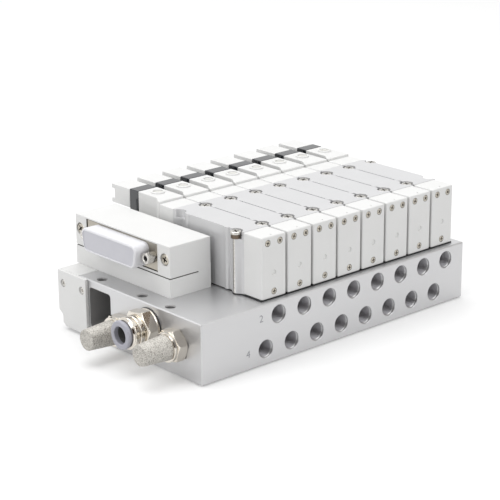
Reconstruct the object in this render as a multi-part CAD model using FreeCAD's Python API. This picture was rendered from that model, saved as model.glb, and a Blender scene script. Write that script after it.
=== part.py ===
import FreeCAD, Part
import math
import os
from FreeCAD import Vector

os.makedirs("parts", exist_ok=True)

# All sizes are millimetres. X runs along the island from the fittings end, the port face
# looks along minus Y, Z is up, and the origin is the centre of the bar's underside.
# A setback is a distance behind the port face.

# Small repeated and hidden round forms are prisms with this many sides, which keeps the mesh light
head_sides = 8
screw_head_sides = 8
screw_sides = 6
land_sides = 6
stub_sides = 16
turned_sides = 24

# Valve stations: one valve per pitch, the first beside the connector housing
station_count = 8
station_pitch = 16.0
valve_gap = 0.6
housing_left = 11.1
housing_width = 24.2
housing_gap = 2.7
last_margin = 13.0
first_station = housing_left + housing_width + housing_gap + station_pitch / 2

# Base bar
base_length = first_station + (station_count - 1) * station_pitch + last_margin
base_depth = 89.5
base_height = 29.0
base_edge = 0.5
left_end = -base_length / 2
right_end = base_length / 2
port_face = -base_depth / 2
bar_rear = base_depth / 2

# G1/8 outlet ports in two rows; the lower row sits half a pitch to the left
port_radius = 4.28
port_depth = 10.0
upper_row_drop = 6.4
lower_row_height = 7.6
upper_row_height = base_height - upper_row_drop

# Galleries along the bar, tapped at both ends
exhaust_bore = 4.28
supply_bore = 5.72
front_exhaust_setback = 16.5
front_exhaust_height = 15.6
supply_setback = 36.9
supply_height = 18.0
rear_exhaust_setback = 55.5
rear_exhaust_height = 11.7
plug_length = 8.0
plug_recess = 0.6
thread_clearance = 0.1

# Wiring channel through the bar and the window up into the connector housing
channel_rear_wall = 8.1
channel_width = 16.1
channel_bottom = 5.7
channel_roof = 3.5
channel_corner = 1.5
channel_height = base_height - channel_roof - channel_bottom
channel_front = bar_rear - channel_rear_wall - channel_width
window_length = 16.0
window_width = 12.0
window_left = housing_left + 4.1

# Tapped holes in the top near the left end
top_hole_radius = 2.1
top_hole_depth = 9.0
top_hole_from_end = 4.8
top_hole_setbacks = (27.0, 47.2, 77.6)

# Wiring duct along the rear, one hollow profile with a stepped lower corner
duct_depth = 15.0
duct_bottom = 1.0
duct_wall = 1.6
duct_step_height = 6.5
duct_step_inset = 3.0
duct_slant = 2.1
duct_foot_inset = 2.5
duct_foot_slant = 1.6
duct_rear = bar_rear + duct_depth
duct_boss = 4.6
cover_thickness = 1.8
cover_overlap = 7.2
cover_screw_drop = 6.2
cover_screw_head = 2.3
cover_screw_head_height = 1.1
cover_screw_radius = 1.2
cover_screw_length = 9.0
front_cover_screw = bar_rear - 4.1
rear_cover_screw = duct_rear - 4.3
cover_screw_height = base_height - cover_screw_drop

# Valve body, gasket and end cap
gasket_thickness = 0.6
gasket_inset = 0.3
gasket_narrowing = 6.2
gasket_shoulder = 1.2
body_length = 50.0
body_height = 29.8
side_step = 0.5
side_step_length = 11.6
cap_setback = 3.2
cap_depth = 12.0
cap_narrowing = 0.6
cap_drop = 0.2
cap_edge = 0.5
body_width = station_pitch - valve_gap
cap_width = body_width - cap_narrowing
cap_front = port_face + cap_setback
body_front = cap_front + cap_depth
body_rear = body_front + body_length
body_bottom = base_height + gasket_thickness
body_top = body_bottom + body_height
cap_top = body_top - cap_drop

# Mounting screws: one boss at the front left and one at the rear right, on the station border
front_boss_inset = 4.8
rear_boss_inset = 5.2
boss_radius = 3.0
boss_gap = 0.4
valve_screw_head = 2.7
valve_screw_head_height = 2.2
valve_screw_radius = 1.5
valve_screw_hole = 1.65
valve_screw_sink = 1.4
valve_screw_grip = 7.0
valve_screw_tap_gap = 0.5
front_boss_y = body_front + front_boss_inset
rear_boss_y = body_rear - rear_boss_inset
screw_seat = body_top - valve_screw_sink - valve_screw_head_height

# Spool and its bore
spool_bore = 3.5
spool_clearance = 0.05
spool_rise = 16.4
spool_neck = 2.0
spool_end_room = 6.0
spool_front_gap = 0.6
spool_land_length = 6.0
spool_land_count = 3
spool_height = body_bottom + spool_rise
spool_length = body_length - spool_end_room

# End cap screws
cap_screw_head = 1.4
cap_screw_height = 0.5
cap_screw_spread = 3.8
cap_screw_from_edge = 3.0

# Adapter, pilot housing, indicator block and connector socket
adapter_length = 10.3
adapter_foot_gap = 1.4
pilot_length = 20.5
pilot_rise = 1.2
pilot_height = 16.6
pilot_left = -4.3
pilot_side_gap = 0.3
pilot_slant = 7.3
ring_offset = 12.5
ring_radius = 3.3
ring_height = 0.5
button_bore = 2.3
button_clearance = 0.08
button_bore_depth = 6.0
button_length = 4.2
button_sink = 0.2
indicator_length = 6.8
indicator_height = 10.4
socket_length = 14.5
socket_drop = 0.3
socket_height = 9.5
socket_wall = 1.1
socket_bulkhead = 1.5
socket_notch_depth = 2.3
socket_lip = 2.25
pin_side = 0.64
pin_length = 5.5
pin_rise = 2.2
pin_spread = 2.5
pilot_right = body_width / 2 - pilot_side_gap
pilot_width = pilot_right - pilot_left
pilot_middle = (pilot_left + pilot_right) / 2
pilot_front = body_rear + adapter_length
indicator_front = pilot_front + pilot_length
socket_front = indicator_front + indicator_length
pilot_top = body_top + pilot_rise
socket_bottom = pilot_top - socket_drop - socket_height

# 25-way D connector, standard sizes
flange_sink = 0.4
flange_thickness = 0.8
jack_spacing = 47.04
flange_ear = 3.0
flange_width = jack_spacing + 2 * flange_ear
flange_height = 12.55
flange_gap = 0.1
jack_to_shell = 4.04
shell_width = jack_spacing - 2 * jack_to_shell
shell_height = 8.36
shell_depth = 5.9
shell_wall = 0.5
shell_corner = 1.6
shell_side_slope = math.radians(10)
jack_flats = 5.0
jack_length = 5.0
jack_bore = 1.4
insulator_nose = 1.2
jack_to_insulator = 2.87
insulator_back_width = jack_spacing - 2 * jack_to_insulator
insulator_back_height = 10.7
insulator_back_depth = 7.7
contact_pitch = 2.77
contact_row_gap = 2.84
contact_side = 0.9
contact_length = 3.4
dust_cap_wall = 1.0
dust_cap_gap = 0.15
dust_cap_front_gap = 0.2
dust_cap_rear_gap = 0.5
dust_cap_corner = 2.6

# Connector housing in two halves, as long as the connector and a margin on either side of it
housing_wall = 2.0
housing_roof = 1.0
housing_margin = 9.2
housing_front_setback = 34.6
tray_height = 9.3
connector_rise = 17.4
post_width = 5.4
post_depth = 8.0
housing_screw_rise = 17.9
housing_screw_inset = 3.8
housing_screw_head = 2.75
housing_screw_head_height = 1.5
housing_screw_radius = 1.5
housing_screw_length = 8.0
floor_screw_length = 7.0
floor_screw_inset = 9.0
housing_x = left_end + housing_left
housing_front = port_face + housing_front_setback
housing_depth = flange_width + 2 * housing_margin
connector_y = housing_front + housing_depth / 2
connector_height = base_height + connector_rise
housing_parting = base_height + tray_height
housing_top = connector_height + flange_height / 2 + flange_gap + housing_roof
housing_screw_height = base_height + housing_screw_rise
flange_front = housing_x + flange_sink

# Push-in inlet for 8 mm tube, screwed into the supply gallery
inlet_gasket_radius = 9.0
inlet_gasket_lip = 0.9
inlet_gasket_thickness = 1.2
inlet_hex_flats = 17.0
inlet_hex_length = 6.2
inlet_collar_radius = 7.6
inlet_groove_radius = 6.9
inlet_groove_length = 0.8
inlet_rear_collar_length = 1.6
inlet_front_collar_length = 2.5
inlet_thread_length = 8.0
inlet_tube_radius = 4.0
inlet_tube_gap = 0.15
inlet_stop_radius = 3.1
inlet_stop_depth = 1.5
sleeve_running_gap = 0.08
sleeve_wall = 1.35
sleeve_flange_radius = 7.4
sleeve_flange_length = 1.8
sleeve_travel_gap = 0.9
sleeve_tube_length = 5.2
seal_length = 2.0
seal_position = 2.8
tube_bore = inlet_tube_radius + inlet_tube_gap
sleeve_tube_radius = tube_bore + sleeve_wall
sleeve_bore = sleeve_tube_radius + sleeve_running_gap

# Silencers with a hexagon body and a tapered porous element
silencer_hex_flats = 14.0
silencer_hex_length = 5.6
silencer_collar_radius = 7.0
silencer_collar_length = 1.2
silencer_thread_length = 7.0
silencer_root_radius = 6.4
silencer_tip_radius = 5.3
silencer_reach = 22.2

along_x = Vector(1, 0, 0)
along_y = Vector(0, 1, 0)
along_z = Vector(0, 0, 1)


def block(x, y, z, dx, dy, dz):
    """A box from its lowest corner."""
    return Part.makeBox(dx, dy, dz, Vector(x, y, z))


def rod(x, y, z, radius, length, axis):
    """A cylinder that starts at a point and runs along an axis."""
    return Part.makeCylinder(radius, length, Vector(x, y, z), axis)


def outline(points):
    """A closed flat wire through the points."""
    return Part.makePolygon(points + [points[0]])


def slab(points, run):
    """A flat outline pushed along a vector."""
    return Part.Face(outline(points)).extrude(run)


def prism(x, y, z, radius, length, axis, sides):
    """A regular prism along an axis; the radius reaches its corners."""
    across = along_x if axis.z != 0 else along_z
    sideways = axis.cross(across)
    centre = Vector(x, y, z)
    points = []
    for index in range(sides):
        angle = (index + 0.5) * 2 * math.pi / sides
        points.append(centre + across * (radius * math.cos(angle)) + sideways * (radius * math.sin(angle)))
    return slab(points, axis * length)


def polygon_ring(x, y, z, radius, sides):
    """A regular polygon across the X axis."""
    points = []
    for index in range(sides):
        angle = index * 2 * math.pi / sides
        points.append(Vector(x, y + radius * math.cos(angle), z + radius * math.sin(angle)))
    return outline(points)


def tapered(root, tip):
    """A solid with flat sides between two polygons that have the same number of corners."""
    faces = [Part.Face(root), Part.Face(tip)]
    near = [vertex.Point for vertex in root.OrderedVertexes]
    far = [vertex.Point for vertex in tip.OrderedVertexes]
    for index in range(len(near)):
        faces.append(Part.Face(outline([near[index - 1], near[index], far[index], far[index - 1]])))
    return Part.Solid(Part.Shell(faces))


def hexagon(x, y, z, flats, length, first_corner):
    """A hexagonal bar along plus X; first_corner is the angle of one corner from plus Y."""
    corner_radius = flats / math.sqrt(3)
    points = []
    for index in range(6):
        angle = first_corner + index * math.pi / 3
        points.append(Vector(x, y + corner_radius * math.cos(angle), z + corner_radius * math.sin(angle)))
    return slab(points, along_x * length)


def stepped(profile, y, z, sides):
    """Prisms end to end along X; each step is its start, its end (both counted from the left end) and its radius."""
    return fuse([prism(left_end + start, y, z, radius, end - start, along_x, sides)
                 for start, end, radius in profile])


def fuse(pieces):
    """One solid from pieces that overlap or share faces."""
    return pieces[0].multiFuse(pieces[1:]).removeSplitter()


def save(name, pieces):
    """One file for a node; several pieces stay separate solids."""
    shape = pieces[0] if len(pieces) == 1 else Part.makeCompound(pieces)
    shape.exportStep("parts/" + name + ".step")
    print(name, len(shape.Solids), round(shape.Volume / 1000, 2), "cm3")


stations = [left_end + first_station + index * station_pitch for index in range(station_count)]
half_pitch = station_pitch / 2
galleries = (
    (front_exhaust_setback, front_exhaust_height, exhaust_bore),
    (supply_setback, supply_height, supply_bore),
    (rear_exhaust_setback, rear_exhaust_height, exhaust_bore),
)


def valve_screw_places(x):
    """Front left and rear right screw centres of the valve at x; both sit on the station border."""
    return (
        (x - half_pitch, front_boss_y),
        (x + half_pitch, rear_boss_y),
    )


def relief_places(x):
    """Where the screws of the valves on either side stand beside this one."""
    return (
        (x + half_pitch, front_boss_y),
        (x - half_pitch, rear_boss_y),
    )


def floor_screw_places():
    """The two screws inside the connector housing that hold it to the bar."""
    x = housing_x + housing_width / 2
    return ((x, housing_front + floor_screw_inset), (x, bar_rear - channel_rear_wall / 4))


def window_cut(z, depth):
    """The cable window between the wiring channel and the connector housing."""
    window_y = channel_front + (channel_width - window_width) / 2
    return block(left_end + window_left, window_y, z, window_length, window_width, depth)


def build_base():
    """The aluminium bar with its ports, galleries, wiring channel and tapped holes."""
    bar = block(left_end, port_face, 0, base_length, base_depth, base_height)
    bar = bar.makeChamfer(base_edge, bar.Edges)
    cuts = []
    tap_depth = valve_screw_grip + valve_screw_tap_gap
    for x in stations:
        cuts.append(rod(x, port_face, upper_row_height, port_radius, port_depth, along_y))
        cuts.append(rod(x - half_pitch, port_face, lower_row_height, port_radius, port_depth, along_y))
        for tap_x, tap_y in valve_screw_places(x):
            cuts.append(prism(tap_x, tap_y, base_height - tap_depth, valve_screw_hole, tap_depth,
                              along_z, screw_sides))
    for setback, height, bore in galleries:
        cuts.append(prism(left_end, port_face + setback, height, bore, base_length, along_x, stub_sides))
    channel = block(left_end, channel_front, channel_bottom, base_length, channel_width, channel_height)
    cuts.append(channel.makeFillet(channel_corner, edges_along_x(channel)))
    cuts.append(window_cut(base_height - channel_roof, channel_roof))
    for setback in top_hole_setbacks:
        hole_x = left_end + top_hole_from_end
        hole_z = base_height - top_hole_depth
        cuts.append(rod(hole_x, port_face + setback, hole_z, top_hole_radius, top_hole_depth, along_z))
    for end_x, run in ((left_end, along_x), (right_end, -along_x)):
        cuts.append(prism(end_x, front_cover_screw, cover_screw_height, cover_screw_radius,
                          cover_screw_length, run, screw_sides))
    for tap_x, tap_y in floor_screw_places():
        cuts.append(prism(tap_x, tap_y, base_height - floor_screw_length, housing_screw_radius,
                          floor_screw_length, along_z, screw_sides))
    return bar.cut(cuts)


def edges_along_x(solid):
    """The straight edges of a solid that run along X."""
    return [edge for edge in solid.Edges if abs(edge.tangentAt(edge.FirstParameter).x) > 0.999]


def duct_points(x, front):
    """The stepped outline that the duct and its end covers share, from its front plane."""
    step = duct_rear - duct_step_inset
    pairs = (
        (front, duct_bottom),
        (step - duct_foot_inset, duct_bottom),
        (step, duct_bottom + duct_foot_slant),
        (step, duct_step_height),
        (duct_rear, duct_step_height + duct_slant),
        (duct_rear, base_height),
        (front, base_height),
    )
    return [Vector(x, y, z) for y, z in pairs]


def build_duct():
    """The hollow white wiring duct behind the bar, with a screw boss along its rear wall."""
    points = duct_points(left_end, bar_rear)
    profile = slab(points, along_x * base_length)
    hollow = Part.Face(outline(points).makeOffset2D(-duct_wall)).extrude(along_x * base_length)
    boss_front = rear_cover_screw - duct_boss / 2
    boss = block(left_end, boss_front, cover_screw_height - duct_boss / 2,
                 base_length, duct_rear - duct_wall - boss_front, duct_boss)
    duct = profile.cut(hollow.cut(boss))
    return duct.cut(prism(left_end, rear_cover_screw, cover_screw_height, cover_screw_radius, base_length,
                          along_x, screw_sides))


def flat_head_screw(x, y, z, head_radius, head_height, shank_radius, length, axis):
    """A plain screw that runs along the axis from the top of its head."""
    head = prism(x, y, z, head_radius, head_height, axis, screw_head_sides)
    shank = prism(x, y, z, shank_radius, length, axis, screw_sides)
    return fuse([head, shank])


def build_end_covers():
    """The covers that close both ends of the duct, and their flush screws."""
    covers = []
    screws = []
    for end_x, run in ((left_end, along_x), (right_end, -along_x)):
        outer_x = end_x - run.x * cover_thickness
        plate = slab(duct_points(outer_x, bar_rear - cover_overlap), run * cover_thickness)
        for screw_y in (front_cover_screw, rear_cover_screw):
            screw = flat_head_screw(outer_x, screw_y, cover_screw_height, cover_screw_head,
                                    cover_screw_head_height, cover_screw_radius, cover_screw_length, run)
            plate = plate.cut(screw)
            screws.append(screw)
        covers.append(plate)
    return covers, screws


def build_gasket(x):
    """The rubber sheet under one valve; it narrows behind the cap to pass between the screws."""
    front = cap_front + gasket_inset
    shoulder = body_front + gasket_shoulder
    rear = body_rear - gasket_inset
    wide = body_width / 2 - gasket_inset
    narrow = (body_width - gasket_narrowing) / 2
    pairs = (
        (-wide, front), (wide, front), (wide, shoulder), (narrow, shoulder),
        (narrow, rear), (-narrow, rear), (-narrow, shoulder), (-wide, shoulder),
    )
    return slab([Vector(x + px, py, base_height) for px, py in pairs], along_z * gasket_thickness)


def build_body(x):
    """A die-cast valve body with a screw boss at two corners and reliefs for its neighbours."""
    left = x - body_width / 2
    body = block(left, body_front, body_bottom, body_width, body_length, body_height)
    body = body.cut(block(left, body_front, body_bottom, side_step, side_step_length, body_height))
    bosses = []
    cuts = []
    for boss_x, boss_y in valve_screw_places(x):
        bosses.append(prism(boss_x, boss_y, base_height, boss_radius, screw_seat - base_height,
                            along_z, head_sides))
        cuts.append(prism(boss_x, boss_y, screw_seat, boss_radius + boss_gap, body_top - screw_seat,
                          along_z, head_sides))
        cuts.append(prism(boss_x, boss_y, base_height, valve_screw_hole, screw_seat - base_height,
                          along_z, screw_sides))
    for relief_x, relief_y in relief_places(x):
        cuts.append(prism(relief_x, relief_y, body_bottom, boss_radius + boss_gap, body_height,
                          along_z, head_sides))
    cuts.append(prism(x, body_front, spool_height, spool_bore, body_length, along_y, land_sides))
    return body.multiFuse(bosses).cut(cuts).removeSplitter()


def build_spool(x):
    """Lands on a thin square stem; the spool slides front to back in the body's bore."""
    start = body_front + spool_front_gap
    step = (spool_length - spool_land_length) / (spool_land_count - 1)
    land_radius = spool_bore - spool_clearance
    pieces = [block(x - spool_neck / 2, start, spool_height - spool_neck / 2, spool_neck, spool_length, spool_neck)]
    for index in range(spool_land_count):
        pieces.append(prism(x, start + index * step, spool_height, land_radius, spool_land_length,
                            along_y, land_sides))
    return fuse(pieces)


def build_valve_screws(x):
    """The two round-head screws that hold one valve down."""
    top = screw_seat + valve_screw_head_height
    length = top - base_height + valve_screw_grip
    return [flat_head_screw(screw_x, screw_y, top, valve_screw_head, valve_screw_head_height,
                            valve_screw_radius, length, -along_z) for screw_x, screw_y in valve_screw_places(x)]


def build_cap(x):
    """The white end cap on the port side of a valve."""
    cap = block(x - cap_width / 2, cap_front, body_bottom, cap_width, cap_depth, cap_top - body_bottom)
    front_edges = [edge for edge in cap.Edges if edge.BoundBox.YMax < cap_front + cap_edge]
    return cap.makeChamfer(cap_edge, front_edges)


def build_cap_screws(x):
    """Three small screw heads on the front of a cap."""
    y = cap_front - cap_screw_height
    upper = cap_top - cap_screw_from_edge
    lower = body_bottom + cap_screw_from_edge
    places = ((x - cap_screw_spread, upper), (x + cap_screw_spread, upper), (x, lower))
    return [prism(px, y, pz, cap_screw_head, cap_screw_height, along_y, screw_head_sides) for px, pz in places]


def build_adapter(x):
    """The plain white block between the body and its pilot valve."""
    bottom = body_bottom + adapter_foot_gap
    return block(x - body_width / 2, body_rear, bottom, body_width, adapter_length, body_top - bottom)


def build_pilot(x):
    """The white pilot housing with a raised ring and a bore for the override button."""
    corners = (
        (x - body_width / 2, pilot_front),
        (x + pilot_right, pilot_front),
        (x + pilot_right, indicator_front),
        (x + pilot_left, indicator_front),
        (x + pilot_left, pilot_front + pilot_slant),
    )
    points = [Vector(px, py, pilot_top - pilot_height) for px, py in corners]
    housing = slab(points, along_z * pilot_height)
    ring_x = x + pilot_middle
    ring_y = pilot_front + ring_offset
    ring = prism(ring_x, ring_y, pilot_top, ring_radius, ring_height, along_z, head_sides)
    bore = prism(ring_x, ring_y, pilot_top + ring_height - button_bore_depth, button_bore,
                 button_bore_depth, along_z, head_sides)
    return housing.fuse(ring).cut(bore)


def build_button(x):
    """A round override button; pressed, it travels down."""
    top = pilot_top + ring_height - button_sink
    return prism(x + pilot_middle, pilot_front + ring_offset, top - button_length,
                 button_bore - button_clearance, button_length, along_z, head_sides)


def build_indicator(x):
    """The dark indicator and suppressor block behind the pilot housing."""
    return block(x + pilot_left, indicator_front, pilot_top - indicator_height, pilot_width,
                 indicator_length, indicator_height)


def build_socket(x):
    """The white plug socket, open to the rear, with both side walls cut back at the mouth."""
    shell = block(x + pilot_left, socket_front, socket_bottom, pilot_width, socket_length, socket_height)
    hollow = block(x + pilot_left + socket_wall, socket_front + socket_bulkhead, socket_bottom + socket_wall,
                   pilot_width - 2 * socket_wall, socket_length - socket_bulkhead,
                   socket_height - 2 * socket_wall)
    notch = block(x + pilot_left, socket_front + socket_length - socket_notch_depth, socket_bottom + socket_lip,
                  pilot_width, socket_notch_depth, socket_height - 2 * socket_lip)
    return shell.cut([hollow, notch])


def build_pins(x):
    """Two square contact pins standing in a socket."""
    pins = []
    for side in (-1, 1):
        pin_x = x + pilot_middle + side * pin_spread - pin_side / 2
        pins.append(block(pin_x, socket_front + socket_bulkhead, socket_bottom + pin_rise - pin_side / 2,
                          pin_side, pin_length, pin_side))
    return pins


housing_inner_width = housing_width - 2 * housing_wall
housing_inner_depth = housing_depth - 2 * housing_wall


def housing_screw_places():
    """The two screws in the face of the connector housing."""
    near = housing_front + housing_screw_inset
    far = housing_front + housing_depth - housing_screw_inset
    return (near, far)


def build_lower_housing():
    """The lower half: a tray with a cable window and two posts for the face screws."""
    inner_x = housing_x + housing_wall
    inner_y = housing_front + housing_wall
    tray = block(housing_x, housing_front, base_height, housing_width, housing_depth,
                 housing_parting - base_height)
    hollow = block(inner_x, inner_y, base_height + housing_wall, housing_inner_width, housing_inner_depth,
                   housing_parting - base_height)
    post_height = housing_top - housing_roof - base_height
    solids = [tray.cut(hollow)]
    for y in (inner_y, inner_y + housing_inner_depth - post_width):
        solids.append(block(inner_x, y, base_height, post_depth, post_width, post_height))
    cuts = [window_cut(base_height, housing_wall)]
    for y in housing_screw_places():
        cuts.append(prism(housing_x, y, housing_screw_height, housing_screw_radius, housing_screw_length,
                          along_x, screw_sides))
    for x, y in floor_screw_places():
        cuts.append(prism(x, y, base_height, housing_screw_radius, housing_wall, along_z, screw_sides))
    return fuse(solids).cut(cuts)


def build_upper_housing():
    """The upper half; a pocket in its face holds the connector flange against a lip."""
    height = housing_top - housing_parting
    shell = block(housing_x, housing_front, housing_parting, housing_width, housing_depth, height)
    hollow = block(housing_x + housing_wall, housing_front + housing_wall, housing_parting,
                   housing_inner_width, housing_inner_depth, height - housing_roof)
    pocket_bottom = connector_height - flange_height / 2 - flange_gap
    pocket_depth = flange_sink + flange_thickness
    pocket = block(housing_x, connector_y - flange_width / 2 - flange_gap, pocket_bottom, pocket_depth,
                   flange_width + 2 * flange_gap, housing_top - housing_roof - pocket_bottom)
    throat_width = insulator_back_width + 2 * flange_gap
    throat_height = insulator_back_height + 2 * flange_gap
    throat = block(housing_x, connector_y - throat_width / 2, connector_height - throat_height / 2,
                   housing_wall, throat_width, throat_height)
    cuts = [hollow, pocket, throat]
    for y in housing_screw_places():
        cuts.append(prism(housing_x, y, housing_screw_height, housing_screw_head, housing_screw_head_height,
                          along_x, screw_head_sides))
        cuts.append(prism(housing_x, y, housing_screw_height, housing_screw_radius, housing_wall,
                          along_x, screw_sides))
    return shell.cut(cuts)


def build_housing_screws():
    """Two screws in the face and two in the floor of the connector housing."""
    screws = []
    for y in housing_screw_places():
        screws.append(flat_head_screw(housing_x, y, housing_screw_height, housing_screw_head,
                                      housing_screw_head_height, housing_screw_radius,
                                      housing_screw_length, along_x))
    top = base_height + housing_wall + housing_screw_head_height
    for x, y in floor_screw_places():
        screws.append(flat_head_screw(x, y, top, housing_screw_head, housing_screw_head_height,
                                      housing_screw_radius, top - base_height + floor_screw_length, -along_z))
    return screws


shell_inner_width = shell_width - 2 * shell_wall
shell_inner_height = shell_height - 2 * shell_wall


def d_block(x, width, height, depth, corner):
    """A solid with a D outline, wider at the top, and rounded corners, from x along plus X."""
    lean = height * math.tan(shell_side_slope)
    bottom = connector_height - height / 2
    top = connector_height + height / 2
    pairs = (
        (connector_y - width / 2 + lean, bottom),
        (connector_y + width / 2 - lean, bottom),
        (connector_y + width / 2, top),
        (connector_y - width / 2, top),
    )
    solid = slab([Vector(x, y, z) for y, z in pairs], along_x * depth)
    return solid.makeFillet(corner, edges_along_x(solid))


def jack_places():
    """The two jack screw centres beside the connector."""
    return (connector_y - jack_spacing / 2, connector_y + jack_spacing / 2)


def build_shell():
    """The pressed steel flange with the D shell standing forward from it."""
    flange = block(flange_front, connector_y - flange_width / 2, connector_height - flange_height / 2,
                   flange_thickness, flange_width, flange_height)
    outer = d_block(flange_front - shell_depth, shell_width, shell_height, shell_depth, shell_corner)
    inner = d_block(flange_front - shell_depth, shell_inner_width, shell_inner_height,
                    shell_depth + flange_thickness, shell_corner - shell_wall)
    return fuse([flange, outer]).cut(inner)


def build_insulator():
    """The moulding that fills the shell's root and backs the flange."""
    nose = d_block(flange_front - insulator_nose, shell_inner_width, shell_inner_height,
                   insulator_nose + flange_thickness, shell_corner - shell_wall)
    back = block(flange_front + flange_thickness, connector_y - insulator_back_width / 2,
                 connector_height - insulator_back_height / 2,
                 insulator_back_depth, insulator_back_width, insulator_back_height)
    return fuse([nose, back])


def build_contacts():
    """25 square contacts in two rows, 13 above 12, standing on the insulator."""
    x = flange_front - insulator_nose - contact_length
    contacts = []
    for count, side in ((13, 1), (12, -1)):
        z = connector_height + side * contact_row_gap / 2 - contact_side / 2
        for index in range(count):
            y = connector_y + (index - (count - 1) / 2) * contact_pitch - contact_side / 2
            contacts.append(block(x, y, z, contact_length, contact_side, contact_side))
    return contacts


def build_jack_screws():
    """The two hexagonal jack screws, each with a tapped hole in its end."""
    screws = []
    x = flange_front - jack_length
    for y in jack_places():
        nut = hexagon(x, y, connector_height, jack_flats, jack_length, math.pi / 2)
        screws.append(nut.cut(prism(x, y, connector_height, jack_bore, jack_length - 1, along_x, head_sides)))
    return screws


def build_dust_cap():
    """The soft cap pushed over the shell."""
    grow = dust_cap_wall + dust_cap_gap
    inner_front = flange_front - shell_depth - dust_cap_front_gap
    front = inner_front - dust_cap_wall
    depth = flange_front - dust_cap_rear_gap - front
    outer = d_block(front, shell_width + 2 * grow, shell_height + 2 * grow, depth, dust_cap_corner)
    inner = d_block(inner_front, shell_width + 2 * dust_cap_gap, shell_height + 2 * dust_cap_gap,
                    depth - dust_cap_wall, shell_corner)
    return outer.cut(inner)


inlet_y = port_face + supply_setback
inlet_hex_front = -inlet_gasket_thickness - inlet_hex_length
inlet_rear_collar_front = inlet_hex_front - inlet_rear_collar_length
inlet_groove_front = inlet_rear_collar_front - inlet_groove_length
inlet_front = inlet_groove_front - inlet_front_collar_length


def build_inlet_gasket():
    """The flat rubber ring between the fitting and the bar."""
    x = left_end - inlet_gasket_thickness
    ring = prism(x, inlet_y, supply_height, inlet_gasket_radius, inlet_gasket_thickness, along_x, turned_sides)
    return ring.cut(prism(x, inlet_y, supply_height, supply_bore + inlet_gasket_lip, inlet_gasket_thickness,
                          along_x, stub_sides))


def build_tube_seal():
    """The seal ring deep in the fitting that grips the tube's end."""
    x = left_end - seal_position - seal_length / 2
    outer = prism(x, inlet_y, supply_height, sleeve_bore, seal_length, along_x, turned_sides)
    hole_radius = tube_bore / math.cos(math.pi / turned_sides)
    return outer.cut(prism(x, inlet_y, supply_height, hole_radius, seal_length, along_x, turned_sides))


def build_inlet_body():
    """The hexagon body with its collars, threaded stub and stepped tube bore."""
    nut = hexagon(left_end + inlet_hex_front, inlet_y, supply_height, inlet_hex_flats, inlet_hex_length, 0)
    nose = stepped((
        (inlet_front, inlet_groove_front, inlet_collar_radius),
        (inlet_groove_front, inlet_rear_collar_front, inlet_groove_radius),
        (inlet_rear_collar_front, inlet_hex_front, inlet_collar_radius),
    ), inlet_y, supply_height, turned_sides)
    stub = prism(left_end - inlet_gasket_thickness, inlet_y, supply_height, supply_bore - thread_clearance,
                 inlet_thread_length + inlet_gasket_thickness, along_x, stub_sides)
    wide = prism(left_end + inlet_front, inlet_y, supply_height, sleeve_bore,
                 -inlet_stop_depth - inlet_front, along_x, turned_sides)
    narrow = prism(left_end + inlet_front, inlet_y, supply_height, inlet_stop_radius,
                   inlet_thread_length - inlet_front, along_x, screw_head_sides)
    return fuse([nut, nose, stub]).cut([wide, narrow])


def build_sleeve():
    """The release sleeve with its collet end; pushed in, it travels towards the bar."""
    back = inlet_front - sleeve_travel_gap
    front = back - sleeve_flange_length
    inner_end = inlet_front + sleeve_tube_length
    form = stepped((
        (front, back, sleeve_flange_radius),
        (back, inner_end, sleeve_tube_radius),
    ), inlet_y, supply_height, turned_sides)
    return form.cut(rod(left_end + front, inlet_y, supply_height, tube_bore, inner_end - front, along_x))


def build_silencer(setback, height, first_corner):
    """One brass silencer body and its tapered porous element."""
    y = port_face + setback
    nut = hexagon(left_end - silencer_hex_length, y, height, silencer_hex_flats, silencer_hex_length, first_corner)
    collar_front = -silencer_hex_length - silencer_collar_length
    collar = prism(left_end + collar_front, y, height, silencer_collar_radius, silencer_collar_length,
                   along_x, turned_sides)
    stub = prism(left_end, y, height, exhaust_bore - thread_clearance, silencer_thread_length,
                 along_x, stub_sides)
    root = polygon_ring(left_end + collar_front, y, height, silencer_root_radius, turned_sides)
    tip = polygon_ring(left_end - silencer_reach, y, height, silencer_tip_radius, turned_sides)
    return fuse([nut, collar, stub]), tapered(root, tip)


def build_plugs():
    """Plugs that close the galleries at the right end."""
    x = right_end - plug_recess - plug_length
    return [prism(x, port_face + setback, height, bore - thread_clearance, plug_length, along_x, stub_sides)
            for setback, height, bore in galleries]


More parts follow.
